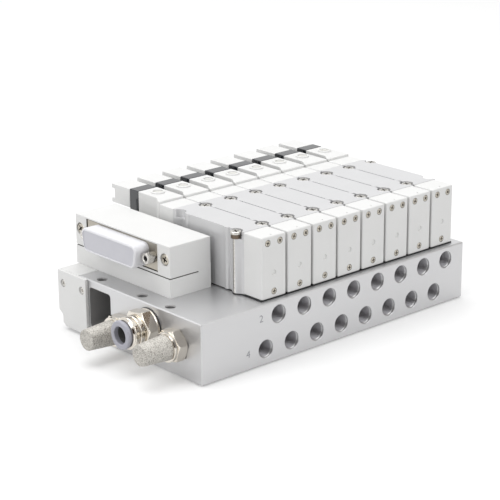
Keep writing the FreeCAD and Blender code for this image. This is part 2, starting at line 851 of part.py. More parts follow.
def build_all():
    save("manifold_base", [build_base()])
    save("wiring_duct", [build_duct()])
    covers, cover_screws = build_end_covers()
    save("duct_end_cover_left", [covers[0]])
    save("duct_end_cover_right", [covers[1]])
    save("duct_cover_screws", cover_screws)
    save("connector_housing_lower", [build_lower_housing()])
    save("connector_housing_upper", [build_upper_housing()])
    save("connector_housing_screws", build_housing_screws())
    save("dsub_shell", [build_shell()])
    save("dsub_insulator", [build_insulator()])
    save("dsub_contacts", build_contacts())
    save("dsub_jack_screws", build_jack_screws())
    save("dsub_dust_cap", [build_dust_cap()])
    save("inlet_gasket", [build_inlet_gasket()])
    save("inlet_fitting_body", [build_inlet_body()])
    save("inlet_tube_seal", [build_tube_seal()])
    save("inlet_release_sleeve", [build_sleeve()])
    front_body, front_element = build_silencer(front_exhaust_setback, front_exhaust_height, 0)
    rear_body, rear_element = build_silencer(rear_exhaust_setback, rear_exhaust_height, math.pi / 2)
    save("silencer_bodies", [front_body, rear_body])
    save("silencer_elements", [front_element, rear_element])
    save("end_port_plugs", build_plugs())
    save("valve_gaskets", [build_gasket(x) for x in stations])
    save("valve_end_caps", [build_cap(x) for x in stations])
    save("end_cap_screws", [screw for x in stations for screw in build_cap_screws(x)])
    save("valve_mounting_screws", [screw for x in stations for screw in build_valve_screws(x)])
    save("pilot_adapters", [build_adapter(x) for x in stations])
    save("pilot_housings", [build_pilot(x) for x in stations])
    save("indicator_blocks", [build_indicator(x) for x in stations])
    save("connector_sockets", [build_socket(x) for x in stations])
    save("connector_pins", [pin for x in stations for pin in build_pins(x)])
    for number, x in enumerate(stations, start=1):
        save("valve_body_" + str(number), [build_body(x)])
        save("spool_" + str(number), [build_spool(x)])
        save("override_button_" + str(number), [build_button(x)])


build_all()
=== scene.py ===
import math

import bmesh
import bpy
from mathutils import Matrix, Vector


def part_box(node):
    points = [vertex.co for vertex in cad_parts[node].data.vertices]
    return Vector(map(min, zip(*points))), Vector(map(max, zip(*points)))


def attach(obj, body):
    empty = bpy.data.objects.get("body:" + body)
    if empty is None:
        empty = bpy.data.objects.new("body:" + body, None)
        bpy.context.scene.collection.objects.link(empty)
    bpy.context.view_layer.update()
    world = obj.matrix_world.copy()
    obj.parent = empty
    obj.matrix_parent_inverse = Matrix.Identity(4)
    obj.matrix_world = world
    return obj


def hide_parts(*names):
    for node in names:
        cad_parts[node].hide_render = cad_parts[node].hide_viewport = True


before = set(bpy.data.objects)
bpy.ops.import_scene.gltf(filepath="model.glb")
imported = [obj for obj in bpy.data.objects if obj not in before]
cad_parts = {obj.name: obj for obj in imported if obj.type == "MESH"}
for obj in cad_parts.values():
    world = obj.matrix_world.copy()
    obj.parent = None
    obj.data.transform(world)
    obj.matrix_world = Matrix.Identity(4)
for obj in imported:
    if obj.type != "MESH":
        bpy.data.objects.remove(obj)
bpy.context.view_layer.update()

alongX, alongY, alongZ = Vector((1, 0, 0)), Vector((0, 1, 0)), Vector((0, 0, 1))
print("frame loaded:", len(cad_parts), "nodes")

# Sizes below are millimetres; pieces are scaled to metres when they are finished
over = 1.0     # how far a cutting tool reaches past what it cuts
far = 90.0     # past everything on that side
hair = 0.1     # slack when faces are picked by their place


def nodeBox(name):
    lo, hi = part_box(name)
    return lo * 1000, hi * 1000


stations = []
for number in range(1, 9):
    lo, hi = nodeBox(f"spool_{number}")
    stations.append((lo.x + hi.x) / 2)
pitch = stations[1] - stations[0]


def unitBox(name):
    # the box of one valve's share of a group, with x counted from its station
    lo, hi = nodeBox(name)
    lo.x -= stations[0]
    hi.x -= stations[-1]
    return lo, hi


def inside(point, lo, hi, slack=hair):
    # whether a point lies in a box that is grown by the slack
    return all(lo[i] - slack < point[i] < hi[i] + slack for i in range(3))


# Mesh helpers

def placed(mesh):
    # a temporary object that shows a mesh
    made = bpy.data.objects.new("part", mesh)
    bpy.context.scene.collection.objects.link(made)
    return made


def gathered(bm):
    # a bmesh, written to a temporary object as it is
    mesh = bpy.data.meshes.new("part")
    bm.to_mesh(mesh)
    bm.free()
    return placed(mesh)


def solid(bm):
    bmesh.ops.recalc_face_normals(bm, faces=bm.faces)
    return gathered(bm)


def brick(lo, hi):
    bm = bmesh.new()
    bmesh.ops.create_cube(bm, size=1)
    for vert in bm.verts:
        vert.co = Vector([lo[i] if vert.co[i] < 0 else hi[i] for i in range(3)])
    return solid(bm)


def loft(rings):
    # a closed skin over rings of points, each with as many points
    bm = bmesh.new()
    loops = [[bm.verts.new(point) for point in ring] for ring in rings]
    bm.faces.new(loops[0])
    bm.faces.new(loops[-1])
    count = len(loops[0])
    for a, b in zip(loops, loops[1:]):
        for i in range(count):
            j = (i + 1) % count
            bm.faces.new((a[i], a[j], b[j], b[i]))
    return solid(bm)


def extrusion(outline, axis, start, end):
    # a flat outline pushed along an axis; its pairs are the other two coordinates in x, y, z order
    others = [i for i in range(3) if not axis[i]]
    run = [i for i in range(3) if axis[i]][0]
    rings = []
    for place in (start, end):
        ring = []
        for pair in outline:
            point = [0, 0, 0]
            point[others[0]], point[others[1]], point[run] = pair[0], pair[1], place
            ring.append(point)
        rings.append(ring)
    return loft(rings)


def circle(middle, axis, radius, count, phase):
    # points round an axis; the phase counts in steps between points
    side = axis.orthogonal().normalized()
    other = axis.cross(side)
    angles = [2 * math.pi * (i + phase) / count for i in range(count)]
    return [middle + side * (radius * math.cos(angle)) + other * (radius * math.sin(angle))
            for angle in angles]


def turning(profile, centre, axis, sides=48):
    # a closed profile of (distance along the axis, radius) turned about the axis
    bm = bmesh.new()
    rings = []
    for along, radius in profile:
        middle = Vector(centre) + axis * along
        points = circle(middle, axis, radius, sides, 0.5) if radius else [middle]
        rings.append([bm.verts.new(point) for point in points])
    pairs = list(zip(rings, rings[1:]))
    if len(rings[0]) > 1 and len(rings[-1]) > 1:
        pairs.append((rings[-1], rings[0]))
    for a, b in pairs:
        for i in range(sides):
            j = (i + 1) % sides
            # a ring of one point, on the axis, gives triangles
            if len(a) > 1 and len(b) > 1:
                bm.faces.new((a[i], a[j], b[j], b[i]))
            elif len(b) > 1:
                bm.faces.new((a[0], b[i], b[j]))
            elif len(a) > 1:
                bm.faces.new((a[i], a[j], b[0]))
    return solid(bm)


def cylinder(centre, axis, radius, length, sides=48):
    return turning([(0, 0), (0, radius), (length, radius), (length, 0)], centre, axis, sides)


def hexBar(centre, axis, flats, length, turn, chamfer=True):
    # a hexagonal bar, its corners turned down at both ends
    corner = flats / math.sqrt(3)
    bar = loft([circle(Vector(centre) + axis * along, axis, corner, 6, turn * 3 / math.pi)
                for along in (0, length)])
    if chamfer:
        inner = flats / 2 * 0.97
        cone = (corner - inner) * math.tan(math.radians(30))
        outer = corner + 0.01
        envelope = turning([(0, 0), (0, inner), (cone, outer), (length - cone, outer), (length, inner),
                            (length, 0)], centre, axis, 72)
        carve(bar, envelope, mode="INTERSECT")
    return bar


def bake(obj):
    # what the modifiers show becomes the mesh
    shown = obj.evaluated_get(bpy.context.evaluated_depsgraph_get())
    mesh = bpy.data.meshes.new_from_object(shown)
    obj.modifiers.clear()
    obj.data = mesh
    return obj


def carve(target, *tools, mode="DIFFERENCE"):
    for tool in tools:
        step = target.modifiers.new("carve", "BOOLEAN")
        step.operation = mode
        step.solver = "EXACT"
        step.object = tool
    bake(target)
    for tool in tools:
        bpy.data.objects.remove(tool)
    return target


def sliced(obj, low, high):
    # takes away what lies between two distances along y
    return carve(obj, brick((-far, low, -far), (far, high, far)))


def joined(parts):
    # several temporary objects in one mesh, each still a closed piece of its own
    bm = bmesh.new()
    for part in parts:
        bm.from_mesh(part.data)
        bpy.data.objects.remove(part)
    return gathered(bm)


def soften(obj, width, segments=2, angle=35):
    # rounded edges, with flat faces kept flat in their shading
    rounded = obj.modifiers.new("round", "BEVEL")
    rounded.width = width
    rounded.segments = segments
    rounded.limit_method = "ANGLE"
    rounded.angle_limit = math.radians(angle)
    rounded.miter_outer = "MITER_ARC"
    return bake(obj)


def atStation(obj, x):
    made = placed(obj.data.copy())
    made.data.transform(Matrix.Translation((x, 0, 0)))
    return made


def atStations(obj):
    # one valve's share of a group, repeated for all of them
    whole = joined([atStation(obj, x) for x in stations])
    bpy.data.objects.remove(obj)
    return whole


def finish(obj, name, material, nodes=(), body="island", others=()):
    # names a piece, scales it to metres, shades it and ties it to the frame
    # others holds further finishes, each with the test that picks its faces
    mesh = obj.data
    picked = []
    for face in mesh.polygons:
        hits = [index for index, (other, test) in enumerate(others, 1) if test(face.center, face.normal)]
        picked.append(hits[0] if hits else 0)
    mesh.transform(Matrix.Scale(0.001, 4))
    mesh.update()
    obj.name = name
    mesh.name = name
    mesh.materials.clear()
    mesh.materials.append(material)
    for other, test in others:
        mesh.materials.append(other)
    for face, index in zip(mesh.polygons, picked):
        face.use_smooth = True
        face.material_index = index
    mesh.set_sharp_from_angle(angle=math.radians(30))
    weighted = obj.modifiers.new("flats", "WEIGHTED_NORMAL")
    weighted.keep_sharp = True
    bake(obj)
    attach(obj, body)
    if nodes:
        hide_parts(*nodes)
    return obj


def softenedNode(node, width, material, segments=2):
    # a CAD solid with flat sides, redrawn with rounded edges
    bm = bmesh.new()
    bm.from_mesh(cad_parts[node].data)
    bmesh.ops.remove_doubles(bm, verts=bm.verts, dist=1e-6)
    bmesh.ops.scale(bm, vec=Vector((1000, 1000, 1000)), verts=bm.verts)
    bmesh.ops.dissolve_limit(bm, angle_limit=math.radians(1), verts=bm.verts, edges=bm.edges)
    return finish(soften(solid(bm), width, segments), "dressed_" + node, material, [node])


# Materials

def hexColour(code):
    # sRGB hex to linear
    parts = [int(code[i:i + 2], 16) / 255 for i in (1, 3, 5)]
    return tuple(p / 12.92 if p <= 0.04045 else ((p + 0.055) / 1.055) ** 2.4 for p in parts) + (1,)


def freshTree(owner):
    owner.use_nodes = True
    owner.node_tree.nodes.clear()
    return owner.node_tree


def addNode(tree, kind, inputs=None, **settings):
    # adds one node, sets it up and links or fills its sockets
    made = tree.nodes.new(kind)
    for key, value in settings.items():
        setattr(made, key, value)
    for key, value in (inputs or {}).items():
        if isinstance(value, bpy.types.NodeSocket):
            tree.links.new(value, made.inputs[key])
        else:
            made.inputs[key].default_value = value
    return made


def makeMaterial(name, colour, shade, rough, cloudMm, grainMm=0.3, reliefMm=0.01, bump=0.2, metal=0.0,
                 stretch=None, more=None):
    # two close colours in soft clouds, and a fine grain in roughness and relief
    material = bpy.data.materials.new(name)
    tree = freshTree(material)
    place = addNode(tree, "ShaderNodeTexCoord").outputs["Object"]
    if stretch:
        place = addNode(tree, "ShaderNodeMapping", {"Vector": place, "Scale": stretch}).outputs[0]
    clouds = addNode(tree, "ShaderNodeTexNoise", {"Vector": place, "Scale": 1000 / cloudMm, "Detail": 3.0})
    shades = addNode(tree, "ShaderNodeMix", {0: clouds.outputs[0], 6: hexColour(colour), 7: hexColour(shade)},
                     data_type="RGBA")
    grain = addNode(tree, "ShaderNodeTexNoise", {"Vector": place, "Scale": 1000 / grainMm, "Detail": 4.0})
    roughness = addNode(tree, "ShaderNodeMapRange", {0: grain.outputs[0], 3: rough[0], 4: rough[1]})
    relief = addNode(tree, "ShaderNodeBump", {"Height": grain.outputs[0], "Strength": bump,
                                              "Distance": reliefMm / 1000})
    shader = addNode(tree, "ShaderNodeBsdfPrincipled", {
        "Base Color": shades.outputs[2], "Roughness": roughness.outputs[0], "Normal": relief.outputs[0],
        "Metallic": metal, **(more or {})})
    addNode(tree, "ShaderNodeOutputMaterial", {"Surface": shader.outputs[0]})
    return material


# clear anodised aluminium, extruded then milled: a neutral satin grey that mirrors softly
anodisedAluminium = makeMaterial(
    "anodised_aluminium_milled", colour="#d0d0d1", shade="#c8c8c9", metal=0.85,
    rough=(0.34, 0.46), cloudMm=30, grainMm=0.35, stretch=(0.25, 1, 1), reliefMm=0.02)
# die-cast aluminium under a thin silver lacquer: pale, faintly cool and satin
lacqueredCasting = makeMaterial(
    "die_cast_aluminium_lacquered", colour="#cccccd", shade="#c5c5c6", metal=0.25,
    rough=(0.3, 0.42), cloudMm=12, grainMm=0.4, reliefMm=0.03, bump=0.25)
# PBT moulded in a fine-sparked tool: a neutral white with a low sheen
mouldedPbt = makeMaterial(
    "pbt_white_moulded", colour="#dcdcdb", shade="#d6d6d5", rough=(0.42, 0.55), cloudMm=15, reliefMm=0.02)
# ABS profile, extruded: white, slightly glossier than the mouldings, with faint lines along it
extrudedAbs = makeMaterial(
    "abs_white_extruded", colour="#dadad9", shade="#d4d4d3",
    rough=(0.36, 0.48), cloudMm=25, grainMm=0.5, stretch=(0.1, 1, 1), reliefMm=0.02, bump=0.15)
# smoked polycarbonate with a polished skin: near black at the sides, grey where the sky reflects
smokedPolycarbonate = makeMaterial(
    "polycarbonate_smoked_polished", colour="#24262b", shade="#1f2125",
    rough=(0.06, 0.12), cloudMm=8, grainMm=0.8, reliefMm=0.005, bump=0.05, more={"IOR": 1.7})
# nitrile rubber sheet: matt black
nitrileRubber = makeMaterial(
    "nitrile_rubber_black", colour="#202022", shade="#29292b",
    rough=(0.6, 0.8), cloudMm=3, grainMm=0.2, reliefMm=0.05, bump=0.4, more={"IOR": 1.52})
# steel screws, zinc plated with a yellowish passivation
passivatedZinc = makeMaterial(
    "steel_zinc_passivated", colour="#c6c1b6", shade="#aca599", metal=1.0,
    rough=(0.25, 0.4), cloudMm=1.5, grainMm=0.15, bump=0.3)
# bright zinc on turned steel
brightZinc = makeMaterial(
    "steel_zinc_bright", colour="#d2d0cc", shade="#c2bfb9", metal=1.0,
    rough=(0.2, 0.34), cloudMm=2, grainMm=0.2)
# stamped steel of the connector, zinc plated and thinly passivated
dullZinc = makeMaterial(
    "steel_zinc_dull", colour="#b8b3a8", shade="#a59f94", metal=1.0,
    rough=(0.26, 0.4), cloudMm=3, grainMm=0.2, bump=0.25)
# turned brass under bright nickel: a mirror with a warm tint
nickelPlate = makeMaterial(
    "brass_nickel_plated", colour="#e4dfd6", shade="#d9d2c7", metal=1.0,
    rough=(0.1, 0.15), cloudMm=4, grainMm=0.8, reliefMm=0.0005, bump=0.05)
# acetal, moulded and slightly waxy: cool grey
greyAcetal = makeMaterial(
    "acetal_grey_moulded", colour="#a7a7b0", shade="#9f9fa8",
    rough=(0.35, 0.45), cloudMm=5, more={"IOR": 1.48})
# natural acetal of the override buttons: a slightly warmer white
ivoryAcetal = makeMaterial(
    "acetal_natural", colour="#dddcd8", shade="#d6d5d0", rough=(0.35, 0.45), cloudMm=2, more={"IOR": 1.48})
# glass-filled thermoplastic of the connector insulator: near black
blackThermoplastic = makeMaterial(
    "thermoplastic_black_moulded", colour="#242426", shade="#1e1e20",
    rough=(0.4, 0.5), cloudMm=4, grainMm=0.2)
# gold flash on brass contacts
goldFlash = makeMaterial(
    "brass_gold_flashed", colour="#d9b564", shade="#cfa855", metal=1.0,
    rough=(0.2, 0.3), cloudMm=2, grainMm=0.2, reliefMm=0.005, bump=0.1)
# soft polyethylene dust cap: milky, with light scattering in its thin wall
milkyPolyethylene = makeMaterial(
    "polyethylene_milky_moulded", colour="#e2e2e5", shade="#dcdce0",
    rough=(0.2, 0.28), cloudMm=6, grainMm=0.8, bump=0.05,
    more={"IOR": 1.51, "Subsurface Weight": 0.3, "Subsurface Radius": (0.002, 0.002, 0.002)})
# the cap's thin front web: the milky plastic in a darker grey, as painted shade of the dark socket that shows
# through it
milkyWebPaintedShade = makeMaterial(
    "polyethylene_milky_web_painted_shade", colour="#c4c4ca", shade="#bdbdc4",
    rough=(0.3, 0.38), cloudMm=6, grainMm=0.8, bump=0.05, more={"IOR": 1.51})
# laser marking on anodised metal: a flat grey
laserMark = makeMaterial(
    "laser_mark_dark", colour="#85858b", shade="#8f8f95",
    rough=(0.6, 0.7), cloudMm=1, grainMm=0.2, reliefMm=0.002, bump=0.1)
# a tapped or drilled hole in aluminium: bare metal, a darker grey as painted shade inside the hole
boredAluminiumPaintedShade = makeMaterial(
    "aluminium_tapped_bore_painted_shade", colour="#b6b5b9", shade="#a5a4a8", metal=0.5,
    rough=(0.4, 0.55), cloudMm=2, reliefMm=0.02, bump=0.3)
# the inside of the wiring channel and of the top holes: a darker grey as painted shade, where little light
# comes in
channelPaintedShade = makeMaterial(
    "aluminium_extruded_unlit", colour="#999898", shade="#8e8d8d", metal=0.2,
    rough=(0.5, 0.6), cloudMm=6, grainMm=0.4, reliefMm=0.02)
# the depth of a small hole, where no light comes back
holeDepths = makeMaterial(
    "aluminium_hole_depth", colour="#6c6b6b", shade="#605f5f", metal=0.2,
    rough=(0.5, 0.6), cloudMm=2, reliefMm=0.02)
# the drive of a screw, where plating is thin: dark brown as painted shade, where light doesn't reach
screwDrivePaintedShade = makeMaterial(
    "steel_drive_recess_painted_shade", colour="#4a443a", shade="#38332b", metal=0.6,
    rough=(0.4, 0.5), cloudMm=0.6, grainMm=0.15, bump=0.3)
# painted shade on white PBT: in the joint between two mouldings, on the connector window's walls and in the
# recesses round the cap screws
pbtPaintedShade = makeMaterial(
    "pbt_white_painted_shade", colour="#55554f", shade="#4b4b46", rough=(0.6, 0.7), cloudMm=3, bump=0.1)
# spring washers, phosphated and oiled: dark brown
phosphatedSteel = makeMaterial(
    "spring_steel_phosphated", colour="#7a6c5e", shade="#65594d", metal=0.8,
    rough=(0.35, 0.45), cloudMm=1, grainMm=0.15, bump=0.3)


def makeSintered(name, grainMm, cloudMm, reliefMm, pale, dark):
    # a porous metal: pale grains with dark pores between them
    material = bpy.data.materials.new(name)
    tree = freshTree(material)
    place = addNode(tree, "ShaderNodeTexCoord").outputs["Object"]
    grains = addNode(tree, "ShaderNodeTexVoronoi", {"Vector": place, "Scale": 1000 / grainMm})
    clouds = addNode(tree, "ShaderNodeTexNoise", {"Vector": place, "Scale": 1000 / cloudMm, "Detail": 5.0})
    speckle = addNode(tree, "ShaderNodeMix", {0: 0.5, 2: grains.outputs[0], 3: clouds.outputs[0]})
    ramp = addNode(tree, "ShaderNodeValToRGB", {0: speckle.outputs[0]})
    for element, (position, colour) in zip(ramp.color_ramp.elements, (pale, dark)):
        element.position = position
        element.color = hexColour(colour)
    relief = addNode(tree, "ShaderNodeBump", {"Height": speckle.outputs[0], "Strength": 0.8,
                                              "Distance": reliefMm / 1000}, invert=True)
    shader = addNode(tree, "ShaderNodeBsdfPrincipled", {
        "Base Color": ramp.outputs[0], "Normal": relief.outputs[0], "Metallic": 0.4, "Roughness": 0.6})
    addNode(tree, "ShaderNodeOutputMaterial", {"Surface": shader.outputs[0]})
    return material


# bronze powder, tinned and sintered: grains of 0.3 mm, drawn at 0.45 mm so that they show
sinteredBronze = makeSintered("bronze_sintered", grainMm=0.45, cloudMm=0.6, reliefMm=0.06,
                              pale=(0.38, "#cecbc5"), dark=(0.68, "#918d86"))
print("materials ready:", len(bpy.data.materials))


# Base bar

bar = dict(edge=0.5, upperRow=22.6, lowerRow=7.6, portDepth=10.0, thread=(4.28, 4.80, 0.907),
           mouthRadius=4.5, mouthDepth=0.22, topHoleX=4.8, topThread=(2.1, 2.45, 0.8), topMouth=2.6,
           topMouthDepth=0.45, topHoles=((27.0, 9.0), (47.2, 9.0), (77.6, 3.6)),   # setback and depth
           plugDepth=9.2, plugGap=0.05, boreMargin=1.7)
channel = dict(front=65.3, rear=81.4, bottom=5.7, top=25.5, corner=1.6, stretch=1.05, lip=0.05)
galleries = ((16.5, 15.6, 4.28), (36.9, 18.0, 5.72), (55.5, 11.7, 4.28))   # setback, height, radius
barLo, barHi = nodeBox("manifold_base")
portFace, leftEnd = barLo.y, barLo.x


def threadedHole(centre, axis, thread, depth, mouthRadius, mouthDepth, sides=40):
    # the space of a tapped hole: a turned-down mouth, then thread crests and roots, then a drill point
    minor, major, step = thread
    profile = [(-0.5, 0), (-0.5, mouthRadius), (0, mouthRadius), (mouthDepth, minor)]
    along = mouthDepth + step / 2
    while along < depth - 1.5 * step:
        profile += [(along, minor), (along + step / 2, major)]
        along += step
    profile += [(along, minor), (depth, minor), (depth + minor * 0.5, 0)]
    return turning(profile, centre, axis, sides)


def makeBar():
    body = brick(barLo, barHi)
    channelLo = Vector((barLo.x - over, portFace + channel["front"], channel["bottom"]))
    channelHi = Vector((barHi.x + over, portFace + channel["rear"], channel["top"]))
    channelTool = soften(brick(channelLo, channelHi), channel["corner"], 4)
    # the run's ends reach past the bar, so its rounded ends cut nothing
    for vert in channelTool.data.vertices:
        vert.co.x *= channel["stretch"]
    soften(body, bar["edge"], 1)
    tools = [channelTool]
    for x in stations:
        for portX, portZ in ((x, bar["upperRow"]), (x - pitch / 2, bar["lowerRow"])):
            tools.append(threadedHole((portX, portFace, portZ), alongY, bar["thread"], bar["portDepth"],
                                      bar["mouthRadius"], bar["mouthDepth"]))
    for setback, depth in bar["topHoles"]:
        tools.append(threadedHole((leftEnd + bar["topHoleX"], portFace + setback, barHi.z), -alongZ,
                                  bar["topThread"], depth, bar["topMouth"], bar["topMouthDepth"], 32))
    for setback, height, radius in galleries:
        for endX, axis in ((barLo.x - 0.5, alongX), (barHi.x + 0.5, -alongX)):
            tools.append(cylinder((endX, portFace + setback, height), axis, radius + bar["plugGap"],
                                  bar["plugDepth"]))
    carve(body, joined(tools))
    channelLo.x = leftEnd + channel["lip"] + hair

    # faces deep in the bar, in its bores, which take the painted shade
    def isBore(centre, normal):
        return inside(centre, barLo, barHi, -bar["boreMargin"])

    def isUnlit(centre, normal):
        # inside the channel or one of the top holes, where the painted shade goes
        across = min(math.hypot(centre.x - leftEnd - bar["topHoleX"], centre.y - portFace - setback)
                     for setback, depth in bar["topHoles"])
        inTopHole = across < bar["topMouth"] - hair and centre.z < barHi.z - hair
        return inTopHole or inside(centre, channelLo, channelHi)

    return finish(body, "bar", anodisedAluminium, ["manifold_base"],
                  others=((channelPaintedShade, isUnlit), (boredAluminiumPaintedShade, isBore)))


makeBar()

marks = dict(height=3.4, left=10.7, lift=0.02, figureShare=0.69)   # the font's figures are 0.69 of its size


def makeMark(text, x, z, name):
    curve = bpy.data.curves.new("mark", "FONT")
    curve.body = text
    curve.size = marks["height"] / marks["figureShare"]
    curve.align_x = "CENTER"
    curve.align_y = "CENTER"
    curve.extrude = marks["lift"] / 2
    written = placed(curve)
    mesh = bpy.data.meshes.new_from_object(written)
    bpy.data.objects.remove(written)
    mesh.transform(Matrix.Translation((x - marks["left"], portFace, z)) @ Matrix.Rotation(math.pi / 2, 4, "X"))
    return finish(placed(mesh), name, laserMark)


makeMark("2", stations[0], bar["upperRow"], "mark_upper_row")
makeMark("4", stations[0] - pitch / 2, bar["lowerRow"], "mark_lower_row")
print("bar done")


# Screws

def screwHead(centre, axis, spec, turn):
    # a low domed head with a cross drive, on the plane through its centre point, facing along the axis
    radius, height, dome = spec["radius"], spec["height"], spec["dome"]
    profile = [(-spec["stem"], 0), (-spec["stem"], spec["stemRadius"]), (0, spec["stemRadius"]), (0, radius),
               (height - dome, radius)]
    for step in range(1, 7):
        angle = step / 6 * math.pi / 2
        profile.append((height - dome * (1 - math.sin(angle)), radius - dome * (1 - math.cos(angle))))
    head = turning(profile + [(height, 0)], centre, axis, 32)
    side = axis.orthogonal().normalized()
    other = axis.cross(side)
    tools = []
    for angle in (turn, turn + math.pi / 2):
        direction = side * math.cos(angle) + other * math.sin(angle)
        across = axis.cross(direction)
        bm = bmesh.new()
        # the drive narrows towards its floor
        for along, scale in ((height + 0.2, 1.0), (height - spec["driveDepth"], 0.6)):
            for a, b in ((-1, -1), (1, -1), (1, 1), (-1, 1)):
                bm.verts.new(Vector(centre) + axis * along + direction * (a * spec["driveLength"] * scale)
                             + across * (b * spec["driveWidth"] / 2 * scale))
        corners = list(bm.verts)
        for ids in ((0, 1, 2, 3), (7, 6, 5, 4), (0, 4, 5, 1), (1, 5, 6, 2), (2, 6, 7, 3), (3, 7, 4, 0)):
            bm.faces.new([corners[i] for i in ids])
        tools.append(solid(bm))
    return carve(head, *tools)


def inDrive(places, spec):
    # tests whether a face lies in the drive of one of these heads
    def test(centre, normal):
        for place, axis in places:
            arm = centre - Vector(place)
            along = arm.dot(axis)
            across = (arm - axis * along).length
            floor = spec["height"] - spec["driveDepth"] - 0.05
            if across < spec["driveLength"] + 0.05 and floor < along < spec["height"] - 0.12:
                return True
        return False
    return test


# Valve gaskets, bodies and spools

valve = dict(edge=0.45, bossReach=9.4, bossSpread=4.7, scoopReach=6.3, scoopSpread=4.78, swellSteps=16,
             pocketRadius=3.35, pocketHeight=9.0, seatDrop=3.6, frontBoss=4.8, rearBoss=5.2, sideStep=0.5,
             stepLength=11.6, boreRadius=3.55, footGrow=0.25, sheetProud=0.15,
             ribs=((2.0, 0.5, 11.9), (1.9, 0.55, 39.3)))   # radius, how proud, setback
bodyLo, bodyHi = nodeBox("valve_body_1")
gasketLo, gasketHi = unitBox("valve_gaskets")
spoolLo, spoolHi = nodeBox("spool_1")
bodyBottom, bodyTop = gasketHi.z, bodyHi.z
bodyHalf = unitBox("pilot_adapters")[1].x
screwSeat = bodyTop - valve["seatDrop"]
spoolHeight = (spoolLo.z + spoolHi.z) / 2
frontY, rearY = bodyLo.y + valve["frontBoss"], bodyHi.y - valve["rearBoss"]
ownScrews = ((-pitch / 2, frontY), (pitch / 2, rearY))
neighbourScrews = ((pitch / 2, frontY), (-pitch / 2, rearY))


def swell(side, wall, reach, y, spread, low, high):
    # a soft ridge or scoop along a side wall: a cosine wave from the wall to another distance
    root = side * (wall - math.copysign(over, reach - wall))
    points = [(root, y - spread)]
    for step in range(valve["swellSteps"] + 1):
        share = 2 * step / valve["swellSteps"] - 1
        out = wall + (reach - wall) * math.cos(math.pi / 2 * share) ** 2
        points.append((side * out, y + spread * share))
    points.append((root, y + spread))
    return extrusion(points, alongZ, low, high)


def makeSwells(low, high, grow):
    # the ridges under this valve's own screws, and the scoops that take the neighbours' ridges
    ridges = [swell(math.copysign(1, x), bodyHalf - (valve["sideStep"] if x < 0 else 0),
                    valve["bossReach"] + grow, y, valve["bossSpread"], low, high) for x, y in ownScrews]
    scoops = [swell(math.copysign(1, x), bodyHalf, valve["scoopReach"], y, valve["scoopSpread"],
                    low - over, high + valve["pocketHeight"]) for x, y in neighbourScrews]
    return ridges, scoops


def makeValveBody():
    body = brick((-bodyHalf, bodyLo.y - over, bodyBottom), (bodyHalf, bodyHi.y + over, bodyTop))
    carve(body, brick((-far, -far, -far),
                      (-bodyHalf + valve["sideStep"], bodyLo.y + valve["stepLength"], far)))
    ridges, scoops = makeSwells(bodyBottom, screwSeat, 0)
    ridges += [cylinder((radius - proud - bodyHalf, bodyLo.y + setback, bodyBottom), alongZ, radius,
                        bodyTop - bodyBottom) for radius, proud, setback in valve["ribs"]]
    pockets = [cylinder((x, y, screwSeat), alongZ, valve["pocketRadius"], valve["pocketHeight"])
               for x, y in ownScrews + neighbourScrews]
    bore = cylinder((0, bodyLo.y - 2 * over, spoolHeight), alongY, valve["boreRadius"], 60)
    carve(body, *ridges, mode="UNION")
    carve(body, *scoops, *pockets, bore)
    soften(body, valve["edge"], 3)
    # the ends stay flat and sharp, where the cap and the adapter meet them
    sliced(body, -far, bodyLo.y)
    return sliced(body, bodyHi.y, far)


bodyForm = makeValveBody()
for number, x in enumerate(stations, 1):
    finish(atStation(bodyForm, x), f"casting_{number}", lacqueredCasting, [f"valve_body_{number}"])
bpy.data.objects.remove(bodyForm)

spool = dict(land=3.45, neck=2.1, landLength=6.0, lands=3)


def makeSpool():
    length, land = spoolHi.y - spoolLo.y, spool["landLength"]
    step = (length - land) / (spool["lands"] - 1)
    profile = [(0, 0)]
    for index in range(spool["lands"]):
        start = index * step
        profile += [(start, spool["land"]), (start + land, spool["land"])]
        if index < spool["lands"] - 1:
            profile += [(start + land, spool["neck"]), (start + step, spool["neck"])]
    return turning(profile + [(length, 0)], (0, spoolLo.y, spoolHeight), alongY, 32)


spoolForm = makeSpool()
for number, x in enumerate(stations, 1):
    finish(atStation(spoolForm, x), f"ground_spool_{number}", brightZinc, [f"spool_{number}"],
           f"spool_body_{number}")
bpy.data.objects.remove(spoolForm)


def makeGaskets():
    # the sheet under each valve, a little proud of the cap, with a foot under each ridge
    sheet = brick((-bodyHalf, gasketLo.y - valve["sheetProud"], barHi.z), (bodyHalf, gasketHi.y, gasketHi.z))
    feet, scoops = makeSwells(barHi.z, gasketHi.z, valve["footGrow"])
    carve(sheet, *feet, mode="UNION")
    carve(sheet, *scoops)
    return finish(atStations(sheet), "gaskets", nitrileRubber, ["valve_gaskets"])


makeGaskets()

mountingScrew = dict(radius=2.6, height=1.2, dome=0.45, driveLength=1.7, driveWidth=0.8, driveDepth=0.9,
                     stem=35.0, stemRadius=1.45, washer=2.1, washerRadius=2.3, washerEdge=0.15, split=0.3)


def makeMountingScrews():
    parts = []
    under, half = screwSeat + mountingScrew["washer"], mountingScrew["split"] / 2
    for index, (x, y) in enumerate(ownScrews):
        parts.append(screwHead((x, y, under), alongZ, mountingScrew, 0.3 + index))
        washer = soften(cylinder((x, y, screwSeat), alongZ, mountingScrew["washerRadius"],
                                 mountingScrew["washer"] - hair), mountingScrew["washerEdge"])
        parts.append(carve(washer, brick((x - 3, y - half, screwSeat - over), (x, y + half, under + over))))
    places = [((x + dx, y, under), alongZ) for x in stations for dx, y in ownScrews]

    def isWasher(centre, normal):
        return screwSeat - hair < centre.z < under - 0.03

    return finish(atStations(joined(parts)), "mounting_screws", brightZinc, ["valve_mounting_screws"],
                  others=((screwDrivePaintedShade, inDrive(places, mountingScrew)), (phosphatedSteel, isWasher)))


makeMountingScrews()
print("valve bodies done")


# End caps with their three screws

